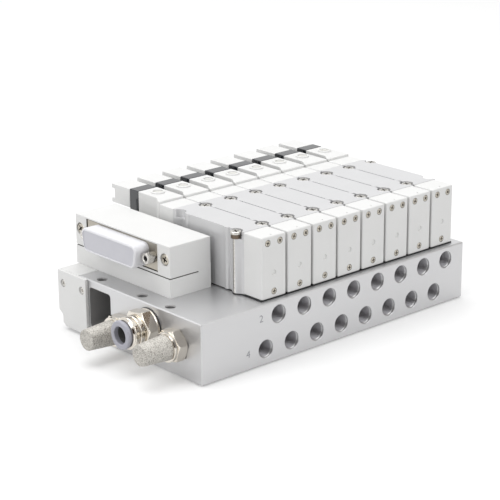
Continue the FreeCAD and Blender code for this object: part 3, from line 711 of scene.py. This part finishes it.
cap = dict(edge=0.7, dimpleRadius=1.35, dimpleDepth=0.5, dimpleHeight=12.0, dotRadius=0.5, dotSetback=2.1,
           dotDepth=0.3, recess=0.6, recessRadius=1.6, screwInset=1.4)
capScrew = dict(radius=1.45, height=0.7, dome=0.3, driveLength=1.0, driveWidth=0.5, driveDepth=0.6,
                stem=1.0, stemRadius=0.8)
capLo, capHi = unitBox("valve_end_caps")
capScrewLo, capScrewHi = unitBox("end_cap_screws")
capScrewLo, capScrewHi = [corner + sign * cap["screwInset"] * Vector((1, 1, 1))
                          for corner, sign in ((capScrewLo, 1), (capScrewHi, -1))]
capScrewSpots = [(capScrewLo.x, capScrewHi.z), (capScrewHi.x, capScrewHi.z),
                 ((capScrewLo.x + capScrewHi.x) / 2, capScrewLo.z)]
recessFloor = capLo.y + cap["recess"]


def makeCaps():
    form = sliced(soften(brick(capLo, capHi + alongY), cap["edge"], 4), capHi.y, far)
    wide, deep = cap["dimpleRadius"], cap["dimpleDepth"]
    dimple = turning([(-1, 0), (-1, wide), (0.1, wide), (deep, wide * 0.75), (deep, 0)],
                     (0, capLo.y, capLo.z + cap["dimpleHeight"]), alongY, 32)
    dot = cylinder((0, capLo.y + cap["dotSetback"], capHi.z - cap["dotDepth"]), alongZ, cap["dotRadius"],
                   over, 20)
    recesses = [cylinder((x, capLo.y - over, z), alongY, cap["recessRadius"], over + cap["recess"], 32)
                for x, z in capScrewSpots]
    carve(form, dimple, dot, *recesses)

    # the recess round each cap screw, which takes the painted shade
    def isRecess(centre, normal):
        nearest = min(abs(centre.x - x) for x in stations)
        inDepth = capLo.y + 0.05 < centre.y < recessFloor + 0.05
        inHeight = capLo.z + over < centre.z < capHi.z - over
        isDimple = abs(centre.z - capLo.z - cap["dimpleHeight"]) <= 2
        return inDepth and inHeight and not isDimple and nearest < (capHi.x - capLo.x) / 2 - 0.5

    return finish(atStations(form), "end_caps", mouldedPbt, ["valve_end_caps"],
                  others=((pbtPaintedShade, isRecess),))


def makeCapScrews():
    heads = [screwHead((x, recessFloor, z), -alongY, capScrew, 0.5 + 0.9 * index)
             for index, (x, z) in enumerate(capScrewSpots)]
    places = [((x + dx, recessFloor, z), -alongY) for x in stations for dx, z in capScrewSpots]
    return finish(atStations(joined(heads)), "cap_screws", passivatedZinc, ["end_cap_screws"],
                  others=((screwDrivePaintedShade, inDrive(places, capScrew)),))


makeCaps()
makeCapScrews()
print("end caps done")


# Adapters, pilot housings, buttons, indicator blocks and sockets

pilot = dict(edge=0.45, slant=7.3, curveSteps=8, ringOuter=3.45, ringInner=2.45, ringRise=0.8, buttonGap=0.07,
             buttonDepth=5.5, slotWidth=0.7, slotDepth=0.7, slotTurn=0.7, buttonEdge=0.12)
pilotLo, pilotHi = unitBox("pilot_housings")
indicatorLo, indicatorHi = unitBox("indicator_blocks")
buttonLo, buttonHi = nodeBox("override_button_1")
buttonCentre = ((buttonLo.x + buttonHi.x) / 2 - stations[0], (buttonLo.y + buttonHi.y) / 2)
pilotTop = indicatorHi.z


def pilotOutline():
    # the left side curves in from the adapter's width to the narrower housing
    left, right = pilotLo.x, pilotHi.x
    points = [(left, pilotLo.y), (right, pilotLo.y), (right, pilotHi.y), (indicatorLo.x, pilotHi.y)]
    for step in range(pilot["curveSteps"]):
        share = 1 - step / pilot["curveSteps"]
        ease = (1 - math.cos(math.pi * share)) / 2
        points.append((left + (indicatorLo.x - left) * ease, pilotLo.y + pilot["slant"] * share))
    return points


def makePilots():
    form = extrusion(pilotOutline(), alongZ, pilotLo.z, pilotTop)
    outer, inner, rise = pilot["ringOuter"], pilot["ringInner"], pilot["ringRise"]
    carve(form, cylinder((*buttonCentre, pilotTop - pilot["buttonDepth"]), alongZ, inner, 9))
    soften(form, pilot["edge"], 3)
    ring = turning([(-0.3, inner), (rise - 0.1, inner), (rise, inner + 0.1), (rise, outer - 0.45),
                    (rise - 0.06, outer - 0.22), (rise - 0.2, outer - 0.06), (rise - 0.45, outer),
                    (-0.3, outer)], (*buttonCentre, pilotTop), alongZ, 48)
    return finish(atStations(joined([form, ring])), "pilot_housings_dressed", mouldedPbt, ["pilot_housings"])


def makeButton():
    radius, edge, half = pilot["ringInner"] - pilot["buttonGap"], pilot["buttonEdge"], pilot["slotWidth"] / 2
    length = buttonHi.z - buttonLo.z
    form = turning([(0, 0), (0, radius), (length - edge, radius), (length, radius - edge), (length, 0)],
                   (*buttonCentre, buttonLo.z), alongZ, 40)
    slot = brick((-half, -3, buttonHi.z - pilot["slotDepth"]), (half, 3, buttonHi.z + over))
    slot.data.transform(Matrix.Translation((*buttonCentre, 0)) @ Matrix.Rotation(pilot["slotTurn"], 4, "Z"))
    return carve(form, slot)


makePilots()
buttonForm = makeButton()
for number, x in enumerate(stations, 1):
    finish(atStation(buttonForm, x), f"button_{number}", ivoryAcetal, [f"override_button_{number}"],
           f"button_body_{number}")
bpy.data.objects.remove(buttonForm)
softenedNode("pilot_adapters", 0.45, mouldedPbt, 3)
softenedNode("indicator_blocks", 0.4, smokedPolycarbonate, 3)
softenedNode("connector_sockets", 0.25, mouldedPbt)
softenedNode("connector_pins", 0.1, brightZinc, 1)
print("pilots and sockets done")


# Connector housing in two halves, with the seam between them

housing = dict(edge=0.35, lowerEdge=0.15, seam=0.4, seamEnd=16.7, lapInset=0.03, coreInset=0.6, windowGap=0.35,
               windowDepth=7.0, pocketRadius=3.0, pocketDepth=1.5, screwInset=3.8, screwHeight=17.9)
housingScrew = dict(radius=2.75, height=1.3, dome=0.8, driveLength=1.75, driveWidth=0.85, driveDepth=1.0,
                    stem=6.0, stemRadius=1.4)
lowerLo = nodeBox("connector_housing_lower")[0]
upperLo, upperHi = nodeBox("connector_housing_upper")
shellLo, shellHi = nodeBox("dsub_shell")
insulatorLo, insulatorHi = nodeBox("dsub_insulator")
connectorY, connectorZ = [(shellLo[i] + shellHi[i]) / 2 for i in (1, 2)]
housingScrewPlaces = [((upperLo.x + housing["pocketDepth"], y, barHi.z + housing["screwHeight"]), -alongX)
                      for y in (upperLo.y + housing["screwInset"], upperHi.y - housing["screwInset"])]


def makeHousing():
    left, front, parting = upperLo.x, upperLo.y, upperLo.z
    right, rear = upperHi.x, upperHi.y
    half, gap = housing["seam"] / 2, housing["windowGap"]
    inset, lapInset = housing["coreInset"], housing["lapInset"]
    lower = soften(brick((left, front, lowerLo.z), (right, rear, parting - half)), housing["lowerEdge"], 2)
    upper = soften(brick((left, front, parting + half), upperHi), housing["edge"], 4)
    window = brick((left - over, shellLo.y - gap, shellLo.z - gap),
                   (shellLo.x + housing["windowDepth"], shellHi.y + gap, shellHi.z + gap))
    throat = brick((left - over, insulatorLo.y - hair, insulatorLo.z - hair),
                   (insulatorHi.x + 0.5, insulatorHi.y + hair, insulatorHi.z + hair))
    pockets = [cylinder((left - over, place[1], place[2]), alongX, housing["pocketRadius"],
                        over + housing["pocketDepth"]) for place, axis in housingScrewPlaces]
    carve(upper, window, throat, *pockets)
    core = brick((left + inset, front + inset, lowerLo.z + over), (right - inset, rear - inset, parting + 2))
    # behind this the lower half's wall laps over the joint
    lap = brick((left + housing["seamEnd"], front + lapInset, parting - 1),
                (right - lapInset, rear - lapInset, parting + 3))

    def isPaintedShade(centre, normal):
        # painted shade on the walls of the joint and of the window, and on the core that shows in the joint
        inWindow = inside(centre, (left + hair + 0.5, shellLo.y, shellLo.z),
                          (right - hair - 0.5, shellHi.y, shellHi.z), 0.5)
        isCore = abs(normal.z) < 0.5 and abs(centre.z - parting) < 4.9 and \
            inside(centre, (left + 0.5, front + 0.5, lowerLo.z + 0.9),
                   (right - 0.5, rear - 0.5, parting + 2.1), 0)
        return abs(centre.z - parting) < half + 0.02 or inWindow or isCore

    return finish(joined([lower, upper, core, lap]), "connector_housing", mouldedPbt,
                  ["connector_housing_lower", "connector_housing_upper"], others=((pbtPaintedShade, isPaintedShade),))


makeHousing()
housingHeads = [screwHead(place, axis, housingScrew, 0.4 + index)
                for index, (place, axis) in enumerate(housingScrewPlaces)]
finish(joined(housingHeads), "housing_screws", passivatedZinc, ["connector_housing_screws"],
       others=((screwDrivePaintedShade, inDrive(housingScrewPlaces, housingScrew)),))


# D connector and its dust cap

dsub = dict(shellWidth=38.96, shellHeight=8.36, corner=2.0, wall=0.5, slope=10.0, flangeBack=1.2, flange=0.8,
            edge=0.15, cornerSteps=6)
dustCap = dict(gap=0.15, wall=1.45, rim=1.2, recess=0.3, edge=0.85, reach=1.15, lift=0.02, outerCorner=3.1,
               innerCorner=1.9, webCorner=2.0)
jack = dict(flats=5.0, thread=(1.25, 1.45, 0.64), depth=4.0, mouthRadius=1.6, mouthDepth=0.2, edge=0.08,
            inset=2.5, darkRadius=1.5)
flangeFront = insulatorLo.x + dsub["flangeBack"]
dustLo = nodeBox("dsub_dust_cap")[0]
jackLo, jackHi = nodeBox("dsub_jack_screws")
jackYs = (jackLo.y + jack["inset"], jackHi.y - jack["inset"])


def dOutline(grow, corner):
    # the D of the connector with rounded corners, grown all round
    width, height = dsub["shellWidth"] + 2 * grow, dsub["shellHeight"] + 2 * grow
    lean = height * math.tan(math.radians(dsub["slope"]))
    corners = [(-width / 2 + lean, -height / 2), (width / 2 - lean, -height / 2),
               (width / 2, height / 2), (-width / 2, height / 2)]
    points = []
    for i in range(4):
        before, here, after = Vector(corners[i - 1]), Vector(corners[i]), Vector(corners[(i + 1) % 4])
        a, b = (before - here).normalized(), (after - here).normalized()
        half = a.angle(b) / 2
        centre = here + (a + b).normalized() * (corner / math.sin(half))
        start = here + a * (corner / math.tan(half)) - centre
        end = here + b * (corner / math.tan(half)) - centre
        turn = start.angle_signed(end)
        for step in range(dsub["cornerSteps"] + 1):
            arm = start.copy()
            arm.rotate(Matrix.Rotation(-turn * step / dsub["cornerSteps"], 2))
            points.append((connectorY + centre.x + arm.x, connectorZ + centre.y + arm.y))
    return points


def makeShell():
    corner, wall = dsub["corner"], dsub["wall"]
    flange = brick((flangeFront, shellLo.y, shellLo.z), (flangeFront + dsub["flange"], shellHi.y, shellHi.z))
    carve(flange, extrusion(dOutline(0, corner), alongX, shellLo.x, flangeFront + hair), mode="UNION")
    carve(flange, extrusion(dOutline(-wall, corner - wall), alongX, shellLo.x - over, flangeFront + 2 * over))
    return finish(soften(flange, dsub["edge"]), "connector_shell", dullZinc, ["dsub_shell"])


def makeDustCap():
    grow = dustCap["gap"] + dustCap["wall"]
    front, rear = dustLo.x - dustCap["reach"], flangeFront - dustCap["lift"]
    webX = front + dustCap["recess"]
    outer = extrusion(dOutline(grow, dustCap["outerCorner"]), alongX, front, rear + 3)
    soften(outer, dustCap["edge"], 4, 60)
    carve(outer, brick((rear, -far, -far), (rear + 9, far, far)))
    inner = extrusion(dOutline(dustCap["gap"], dustCap["innerCorner"]), alongX, shellLo.x - 0.15, rear + over)
    face = extrusion(dOutline(grow - dustCap["rim"], dustCap["webCorner"]), alongX, front - over, webX)
    carve(outer, inner, face)

    # the web's front faces, which take the painted shade
    def isWeb(centre, normal):
        return normal.x < -0.9 and abs(centre.x - webX) < 0.05

    return finish(outer, "dust_cap_soft", milkyPolyethylene, ["dsub_dust_cap"], "dust_cap",
                  others=((milkyWebPaintedShade, isWeb),))


def makeJackScrews():
    nuts = []
    for y in jackYs:
        centre = (jackLo.x, y, connectorZ)
        hole = threadedHole(centre, alongX, jack["thread"], jack["depth"], jack["mouthRadius"],
                            jack["mouthDepth"], 24)
        nuts.append(carve(hexBar(centre, alongX, jack["flats"], jackHi.x - jackLo.x, 0.0), hole))

    def isHole(centre, normal):
        across = min(math.hypot(centre.y - y, centre.z - connectorZ) for y in jackYs)
        return across < jack["darkRadius"] and centre.x > jackLo.x + 0.25

    return finish(soften(joined(nuts), jack["edge"]), "jack_screws", brightZinc, ["dsub_jack_screws"],
                  others=((holeDepths, isHole),))


makeShell()
softenedNode("dsub_insulator", 0.2, blackThermoplastic)
softenedNode("dsub_contacts", 0.2, goldFlash, 2)
makeDustCap()
makeJackScrews()
print("connector done")


# Wiring duct and its end covers

duct = dict(edge=0.4, stepInset=3.0, footInset=2.5, footSlant=1.6, stepHeight=6.5, slant=2.1)
cover = dict(frontScrew=4.1, rearScrew=4.3, screwDrop=6.2, holeRadius=2.0, holeFloor=1.9, holeDepth=0.9)
coverScrew = dict(radius=1.65, height=0.5, dome=0.3, driveLength=1.0, driveWidth=0.5, driveDepth=0.45,
                  stem=5.0, stemRadius=1.1)
ductLo, ductHi = nodeBox("wiring_duct")
coverFront = nodeBox("duct_end_cover_left")[0].y
coverScrewPlaces = ((barHi.y - cover["frontScrew"], barHi.z - cover["screwDrop"]),
                    (ductHi.y - cover["rearScrew"], barHi.z - cover["screwDrop"]))


def ductOutline():
    step = ductHi.y - duct["stepInset"]
    return [(coverFront, ductLo.z), (step - duct["footInset"], ductLo.z), (step, ductLo.z + duct["footSlant"]),
            (step, duct["stepHeight"]), (ductHi.y, duct["stepHeight"] + duct["slant"]), (ductHi.y, ductHi.z),
            (coverFront, ductHi.z)]


def makeCovers():
    heads = []
    wide, floor, deep = cover["holeRadius"], cover["holeFloor"], cover["holeDepth"]
    for side, outward in (("left", -alongX), ("right", alongX)):
        lo, hi = nodeBox("duct_end_cover_" + side)
        plate = soften(extrusion(ductOutline(), alongX, lo.x, hi.x), duct["edge"], 3)
        outerX = lo.x if side == "left" else hi.x
        carve(plate, *[turning([(-1, 0), (-1, wide), (0, wide), (deep, floor), (deep, 0)],
                               (outerX, y, z), -outward, 32) for y, z in coverScrewPlaces])
        finish(plate, "cover_" + side, mouldedPbt, ["duct_end_cover_" + side])
        for index, (y, z) in enumerate(coverScrewPlaces):
            heads.append(screwHead(Vector((outerX, y, z)) - outward * deep, outward, coverScrew, 0.2 + index))
    finish(joined(heads), "cover_screws", brightZinc, ["duct_cover_screws"])


softenedNode("wiring_duct", duct["edge"], extrudedAbs, 3)
makeCovers()
print("duct done")


# Push-in inlet fitting

inlet = dict(setback=36.9, height=18.0, flats=17.0, hexLength=6.2, hexTurn=-0.12, hexEdge=0.12, collar=7.6,
             groove=6.85, grooveLength=0.5, collars=(2.9, 2.4), rounding=0.55, lip=7.0, lipLength=0.6,
             lipEdge=0.5, socket=5.58, stub=((-8, 3.1), (-8, 5.5), (0, 5.6)), ring=9.0, ringInner=6.7,
             ringLength=0.6, ringEdge=0.2)
sleeve = dict(bore=4.15, tube=5.5, flange=6.75, flangeLength=1.8, reach=1.8, short=1.5, flare=0.3,
              darkFrom=2.5)   # reach is how far it stands out of the solid's place
fittingY, fittingZ = portFace + inlet["setback"], inlet["height"]
fittingRoot = (barLo.x, fittingY, fittingZ)   # distances in the fitting run outwards from here
flangeOut = barLo.x - nodeBox("inlet_gasket")[0].x
sleeveLo, sleeveHi = nodeBox("inlet_release_sleeve")


def roundedCollar(start, length):
    # a collar with half-round edges
    points, rounding = [], inlet["rounding"]
    for end, turn in ((start, -1), (start + length, 1)):
        for step in range(5):
            angle = math.pi / 2 * (step / 4 if turn > 0 else 1 - step / 4)
            points.append((end - turn * rounding * (1 - math.sin(angle)),
                           inlet["collar"] - rounding * (1 - math.cos(angle))))
    return points


def makeInlet():
    groove, socket, lip, lipEdge = inlet["groove"], inlet["socket"], inlet["lip"], inlet["lipEdge"]
    hexOut = flangeOut + inlet["hexLength"]
    nut = hexBar((barLo.x - flangeOut, fittingY, fittingZ), -alongX, inlet["flats"], inlet["hexLength"],
                 inlet["hexTurn"])
    carve(nut, cylinder((barLo.x + over, fittingY, fittingZ), -alongX, socket, 30, 96))
    rearEnd = hexOut + inlet["collars"][0]
    frontStart = rearEnd + inlet["grooveLength"]
    frontEnd = frontStart + inlet["collars"][1]
    tip = frontEnd + inlet["lipLength"]
    nose = turning([(hexOut - 1, socket), (hexOut - 1, lip), (hexOut, lip),
                    *roundedCollar(hexOut, inlet["collars"][0]), (rearEnd, groove), (frontStart, groove),
                    *roundedCollar(frontStart, inlet["collars"][1]), (frontEnd, lip), (tip - lipEdge, lip),
                    (tip, lip - lipEdge), (tip, socket + 0.2), (tip - 0.2, socket)], fittingRoot, -alongX, 96)
    stub = turning([*inlet["stub"], (hexOut - 1, 5.6), (hexOut - 1, 3.1)], fittingRoot, -alongX, 48)
    ring, inner, length, edge = inlet["ring"], inlet["ringInner"], inlet["ringLength"], inlet["ringEdge"]
    flange = turning([(length, inner - 0.1), (flangeOut + 0.2, inner - 0.1), (flangeOut + 0.2, ring - 0.6),
                      (flangeOut - 0.1, ring - edge), (length, ring - edge)], fittingRoot, -alongX, 72)
    finish(joined([soften(nut, inlet["hexEdge"]), nose, stub, flange]), "inlet_body", nickelPlate,
           ["inlet_fitting_body"])
    rubber = turning([(0, inner), (length, inner), (length, ring - edge), (length - edge, ring), (edge, ring),
                      (0, ring - edge)], fittingRoot, -alongX, 72)
    finish(rubber, "inlet_ring", nitrileRubber, ["inlet_gasket"])


def makeSleeve():
    bore, flange, tube, flare = sleeve["bore"], sleeve["flange"], sleeve["tube"], sleeve["flare"]
    start, back = -sleeve["reach"], sleeve["flangeLength"] - sleeve["reach"]
    # the tube stops a little short, to clear the body's floor when it is pushed in
    end = sleeveHi.x - sleeveLo.x - sleeve["short"]
    form = turning([(start, bore + flare), (start, flange - 0.6), (start + 0.18, flange - 0.25),
                    (start + 0.6, flange), (back - 0.2, flange), (back, flange - 0.2), (back, tube),
                    (end, tube), (end, bore), (start + 3.5, bore), (start + 2.4, bore), (start + flare, bore)],
                   (sleeveLo.x, fittingY, fittingZ), alongX, 96)

    def isDeep(centre, normal):
        across = math.hypot(centre.y - fittingY, centre.z - fittingZ)
        return across < bore + hair and centre.x > sleeveLo.x + start + sleeve["darkFrom"]

    finish(form, "release_sleeve_dressed", greyAcetal, ["inlet_release_sleeve"], "release_sleeve",
           others=((holeDepths, isDeep),))


makeInlet()
makeSleeve()
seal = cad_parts["inlet_tube_seal"].data
seal.materials.clear()
seal.materials.append(nitrileRubber)
print("inlet done")


# Silencers and the plugs at the other end

silencer = dict(flats=14.0, hexLength=5.6, hexEdge=0.1, collar=7.0, collarLength=1.6, root=5.95, tip=5.0,
                reach=21.7, round=0.35, steps=13, stubRadius=4.18, stubLength=7.5,
                places=((16.5, 15.6, -0.07), (55.5, 11.7, 0.9)))   # setback, height, turn of the hexagon
plug = dict(gap=0.1, edge=0.4, length=8.0, socketDepth=4.0)


def makeSilencers():
    bodies, elements = [], []
    hexOut, wide = silencer["hexLength"], silencer["collar"]
    collarOut = hexOut + silencer["collarLength"]
    root, tip, reach, rim = silencer["root"], silencer["tip"], silencer["reach"], silencer["round"]
    for setback, height, turn in silencer["places"]:
        centre = (barLo.x, portFace + setback, height)
        nut = hexBar(centre, -alongX, silencer["flats"], hexOut, turn)
        collar = turning([(hexOut - 0.5, 0), (hexOut - 0.5, 6), (hexOut, 6), (hexOut, wide - 0.2),
                          (hexOut + 0.2, wide), (collarOut - 0.25, wide), (collarOut, wide - 0.25),
                          (collarOut, 0)], centre, -alongX, 72)
        stub = cylinder(Vector(centre) - alongX * 0.5, alongX, silencer["stubRadius"], silencer["stubLength"])
        bodies.append(joined([soften(nut, silencer["hexEdge"]), collar, stub]))
        profile = [(collarOut - 0.2, 0), (collarOut - 0.2, root)]
        for step in range(1, silencer["steps"]):
            share = step / silencer["steps"]
            profile.append((collarOut + (reach - rim - collarOut) * share, root + (tip - root) * share))
        profile += [(reach - rim, tip), (reach - rim * 0.3, tip - rim * 0.25), (reach, tip - rim),
                    (reach, tip * 0.5), (reach, 0)]
        elements.append(turning(profile, centre, -alongX, 64))
    finish(joined(bodies), "silencer_hexagons", nickelPlate, ["silencer_bodies"])
    finish(joined(elements), "silencer_porous", sinteredBronze, ["silencer_elements"])


def makePlugs():
    plugs = []
    endX, edge, length = nodeBox("end_port_plugs")[1].x, plug["edge"], plug["length"]
    for setback, height, radius in galleries:
        y, r = portFace + setback, radius - plug["gap"]
        body = turning([(0, 0), (0, r - edge), (edge, r), (length, r), (length, 0)],
                       (endX, y, height), -alongX)
        plugs.append(carve(body, hexBar((endX + over, y, height), -alongX, r, plug["socketDepth"], 0, False)))
    finish(joined(plugs), "gallery_plugs", brightZinc, ["end_port_plugs"])


makeSilencers()
makePlugs()
print("silencers and plugs done")


# Camera, lights, floor and background

shot = dict(target=(-30.1, -14.75, 43.6), distance=791.8, azimuth=41.56, elevation=18.39, roll=-0.46,
            focalPixels=1701, framePixels=500, sensorMm=36)
lamps = (   # name, place in metres, size, watts
    ("key_left", (-1.3, 0.05, 0.75), 0.9, 6.4),
    ("fill_front", (0.4, -1.3, 0.8), 1.0, 7.1),
    ("top", (0.0, 0.4, 1.6), 1.6, 21.6),
)
# these sheets glow in their dark colours and are no lamps: they paint dark reflections into the metal
flags = (   # dark studio flags that only mirrors see: name, low corner, high corner, colour
    ("flag_brown", (0.62, -1.25, 0.05), (1.35, -0.35, 1.25), "#6b5b4d"),
    ("flag_behind_camera", (-1.3, -0.5, 0.0), (-0.35, -1.4, 1.45), "#2a1808"),
)
backdrop = dict(worldLight=0.5, floorGrey="#d8d8d8", floorLift=0.23, floorHalf=3.0, floorDrop=0.0005,
                fadeStart=1.0, fadeEnd=2.2)


def makeCamera():
    azimuth, elevation, roll = [math.radians(shot[k]) for k in ("azimuth", "elevation", "roll")]
    back = Vector((-math.sin(azimuth) * math.cos(elevation), -math.cos(azimuth) * math.cos(elevation),
                   math.sin(elevation)))
    right = Vector((math.cos(azimuth), -math.sin(azimuth), 0))
    up = back.cross(right)
    turnedRight = right * math.cos(roll) + up * math.sin(roll)
    turnedUp = up * math.cos(roll) - right * math.sin(roll)
    data = bpy.data.cameras.new("camera")
    data.sensor_width = shot["sensorMm"]
    data.lens = data.sensor_width * shot["focalPixels"] / shot["framePixels"]
    data.clip_start = 0.05
    data.clip_end = 20
    camera = bpy.data.objects.new("camera", data)
    bpy.context.scene.collection.objects.link(camera)
    place = (Vector(shot["target"]) + back * shot["distance"]) / 1000
    axes = Matrix((turnedRight, turnedUp, back)).transposed().to_4x4()
    camera.matrix_world = Matrix.Translation(place) @ axes
    bpy.context.scene.camera = camera


def makeLights():
    aim = Vector((0, 0, 0.03))
    for name, place, size, watts in lamps:
        data = bpy.data.lights.new(name, "AREA")
        data.shape = "SQUARE"
        data.size = size
        data.energy = watts
        lamp = bpy.data.objects.new(name, data)
        lamp.location = place
        lamp.rotation_mode = "QUATERNION"
        lamp.rotation_quaternion = (Vector(place) - aim).to_track_quat("Z", "Y")
        bpy.context.scene.collection.objects.link(lamp)


def stageSheet(name, corners, material, hiddenFrom=()):
    # one flat face of the studio, which the named kinds of ray don't meet
    bm = bmesh.new()
    bm.faces.new([bm.verts.new(corner) for corner in corners])
    sheet = solid(bm)
    sheet.name = name
    sheet.data.materials.append(material)
    for ray in hiddenFrom:
        setattr(sheet, "visible_" + ray, False)


def makeReflectionFlags():
    for name, lo, hi, colour in flags:
        shade = bpy.data.materials.new(name)
        tree = freshTree(shade)
        # a painted reflection: the sheet glows in its own dark colour
        glow = addNode(tree, "ShaderNodeEmission", {"Color": hexColour(colour), "Strength": 1.0})
        addNode(tree, "ShaderNodeOutputMaterial", {"Surface": glow.outputs[0]})
        corners = (lo, (hi[0], hi[1], lo[2]), hi, (lo[0], lo[1], hi[2]))
        stageSheet(name, corners, shade, ("camera", "diffuse", "shadow", "transmission", "volume_scatter"))


def whiteToTheEye(tree):
    # 1 for rays that the eye, a mirror or glass sends out, 0 for the rays that light things
    paths = addNode(tree, "ShaderNodeLightPath")
    seen = paths.outputs["Is Camera Ray"]
    for ray in ("Is Glossy Ray", "Is Transmission Ray"):
        both = addNode(tree, "ShaderNodeMath", {0: seen, 1: paths.outputs[ray]}, operation="MAXIMUM")
        seen = both.outputs[0]
    return seen


def makeBackground():
    world = bpy.data.worlds.new("studio")
    bpy.context.scene.world = world
    tree = freshTree(world)
    level = addNode(tree, "ShaderNodeMapRange", {0: whiteToTheEye(tree), 3: backdrop["worldLight"], 4: 1.0})
    light = addNode(tree, "ShaderNodeBackground", {"Color": (1, 1, 1, 1), "Strength": level.outputs[0]})
    addNode(tree, "ShaderNodeOutputWorld", {"Surface": light.outputs[0]})

    paper = bpy.data.materials.new("paper_white_matt")
    tree = freshTree(paper)
    matt = addNode(tree, "ShaderNodeBsdfDiffuse", {"Color": hexColour(backdrop["floorGrey"])})
    # past the lamps' reach the paper fades to plain white
    position = addNode(tree, "ShaderNodeNewGeometry").outputs["Position"]
    away = addNode(tree, "ShaderNodeVectorMath", {0: position}, operation="LENGTH")
    fade = addNode(tree, "ShaderNodeMapRange", {0: away.outputs["Value"], 1: backdrop["fadeStart"],
                                                2: backdrop["fadeEnd"], 3: backdrop["floorLift"], 4: 1.0})
    lift = addNode(tree, "ShaderNodeMapRange", {0: whiteToTheEye(tree), 3: 0.0, 4: fade.outputs[0]})
    glow = addNode(tree, "ShaderNodeEmission", {"Strength": lift.outputs[0]})
    both = addNode(tree, "ShaderNodeAddShader", {0: matt.outputs[0], 1: glow.outputs[0]})
    addNode(tree, "ShaderNodeOutputMaterial", {"Surface": both.outputs[0]})
    half, z = backdrop["floorHalf"], -backdrop["floorDrop"]
    stageSheet("floor", ((-half, -half, z), (half, -half, z), (half, half, z), (-half, half, z)), paper)


makeCamera()
makeLights()
makeReflectionFlags()
makeBackground()
bpy.context.scene.view_settings.view_transform = "Standard"
print("camera, lights and floor done")
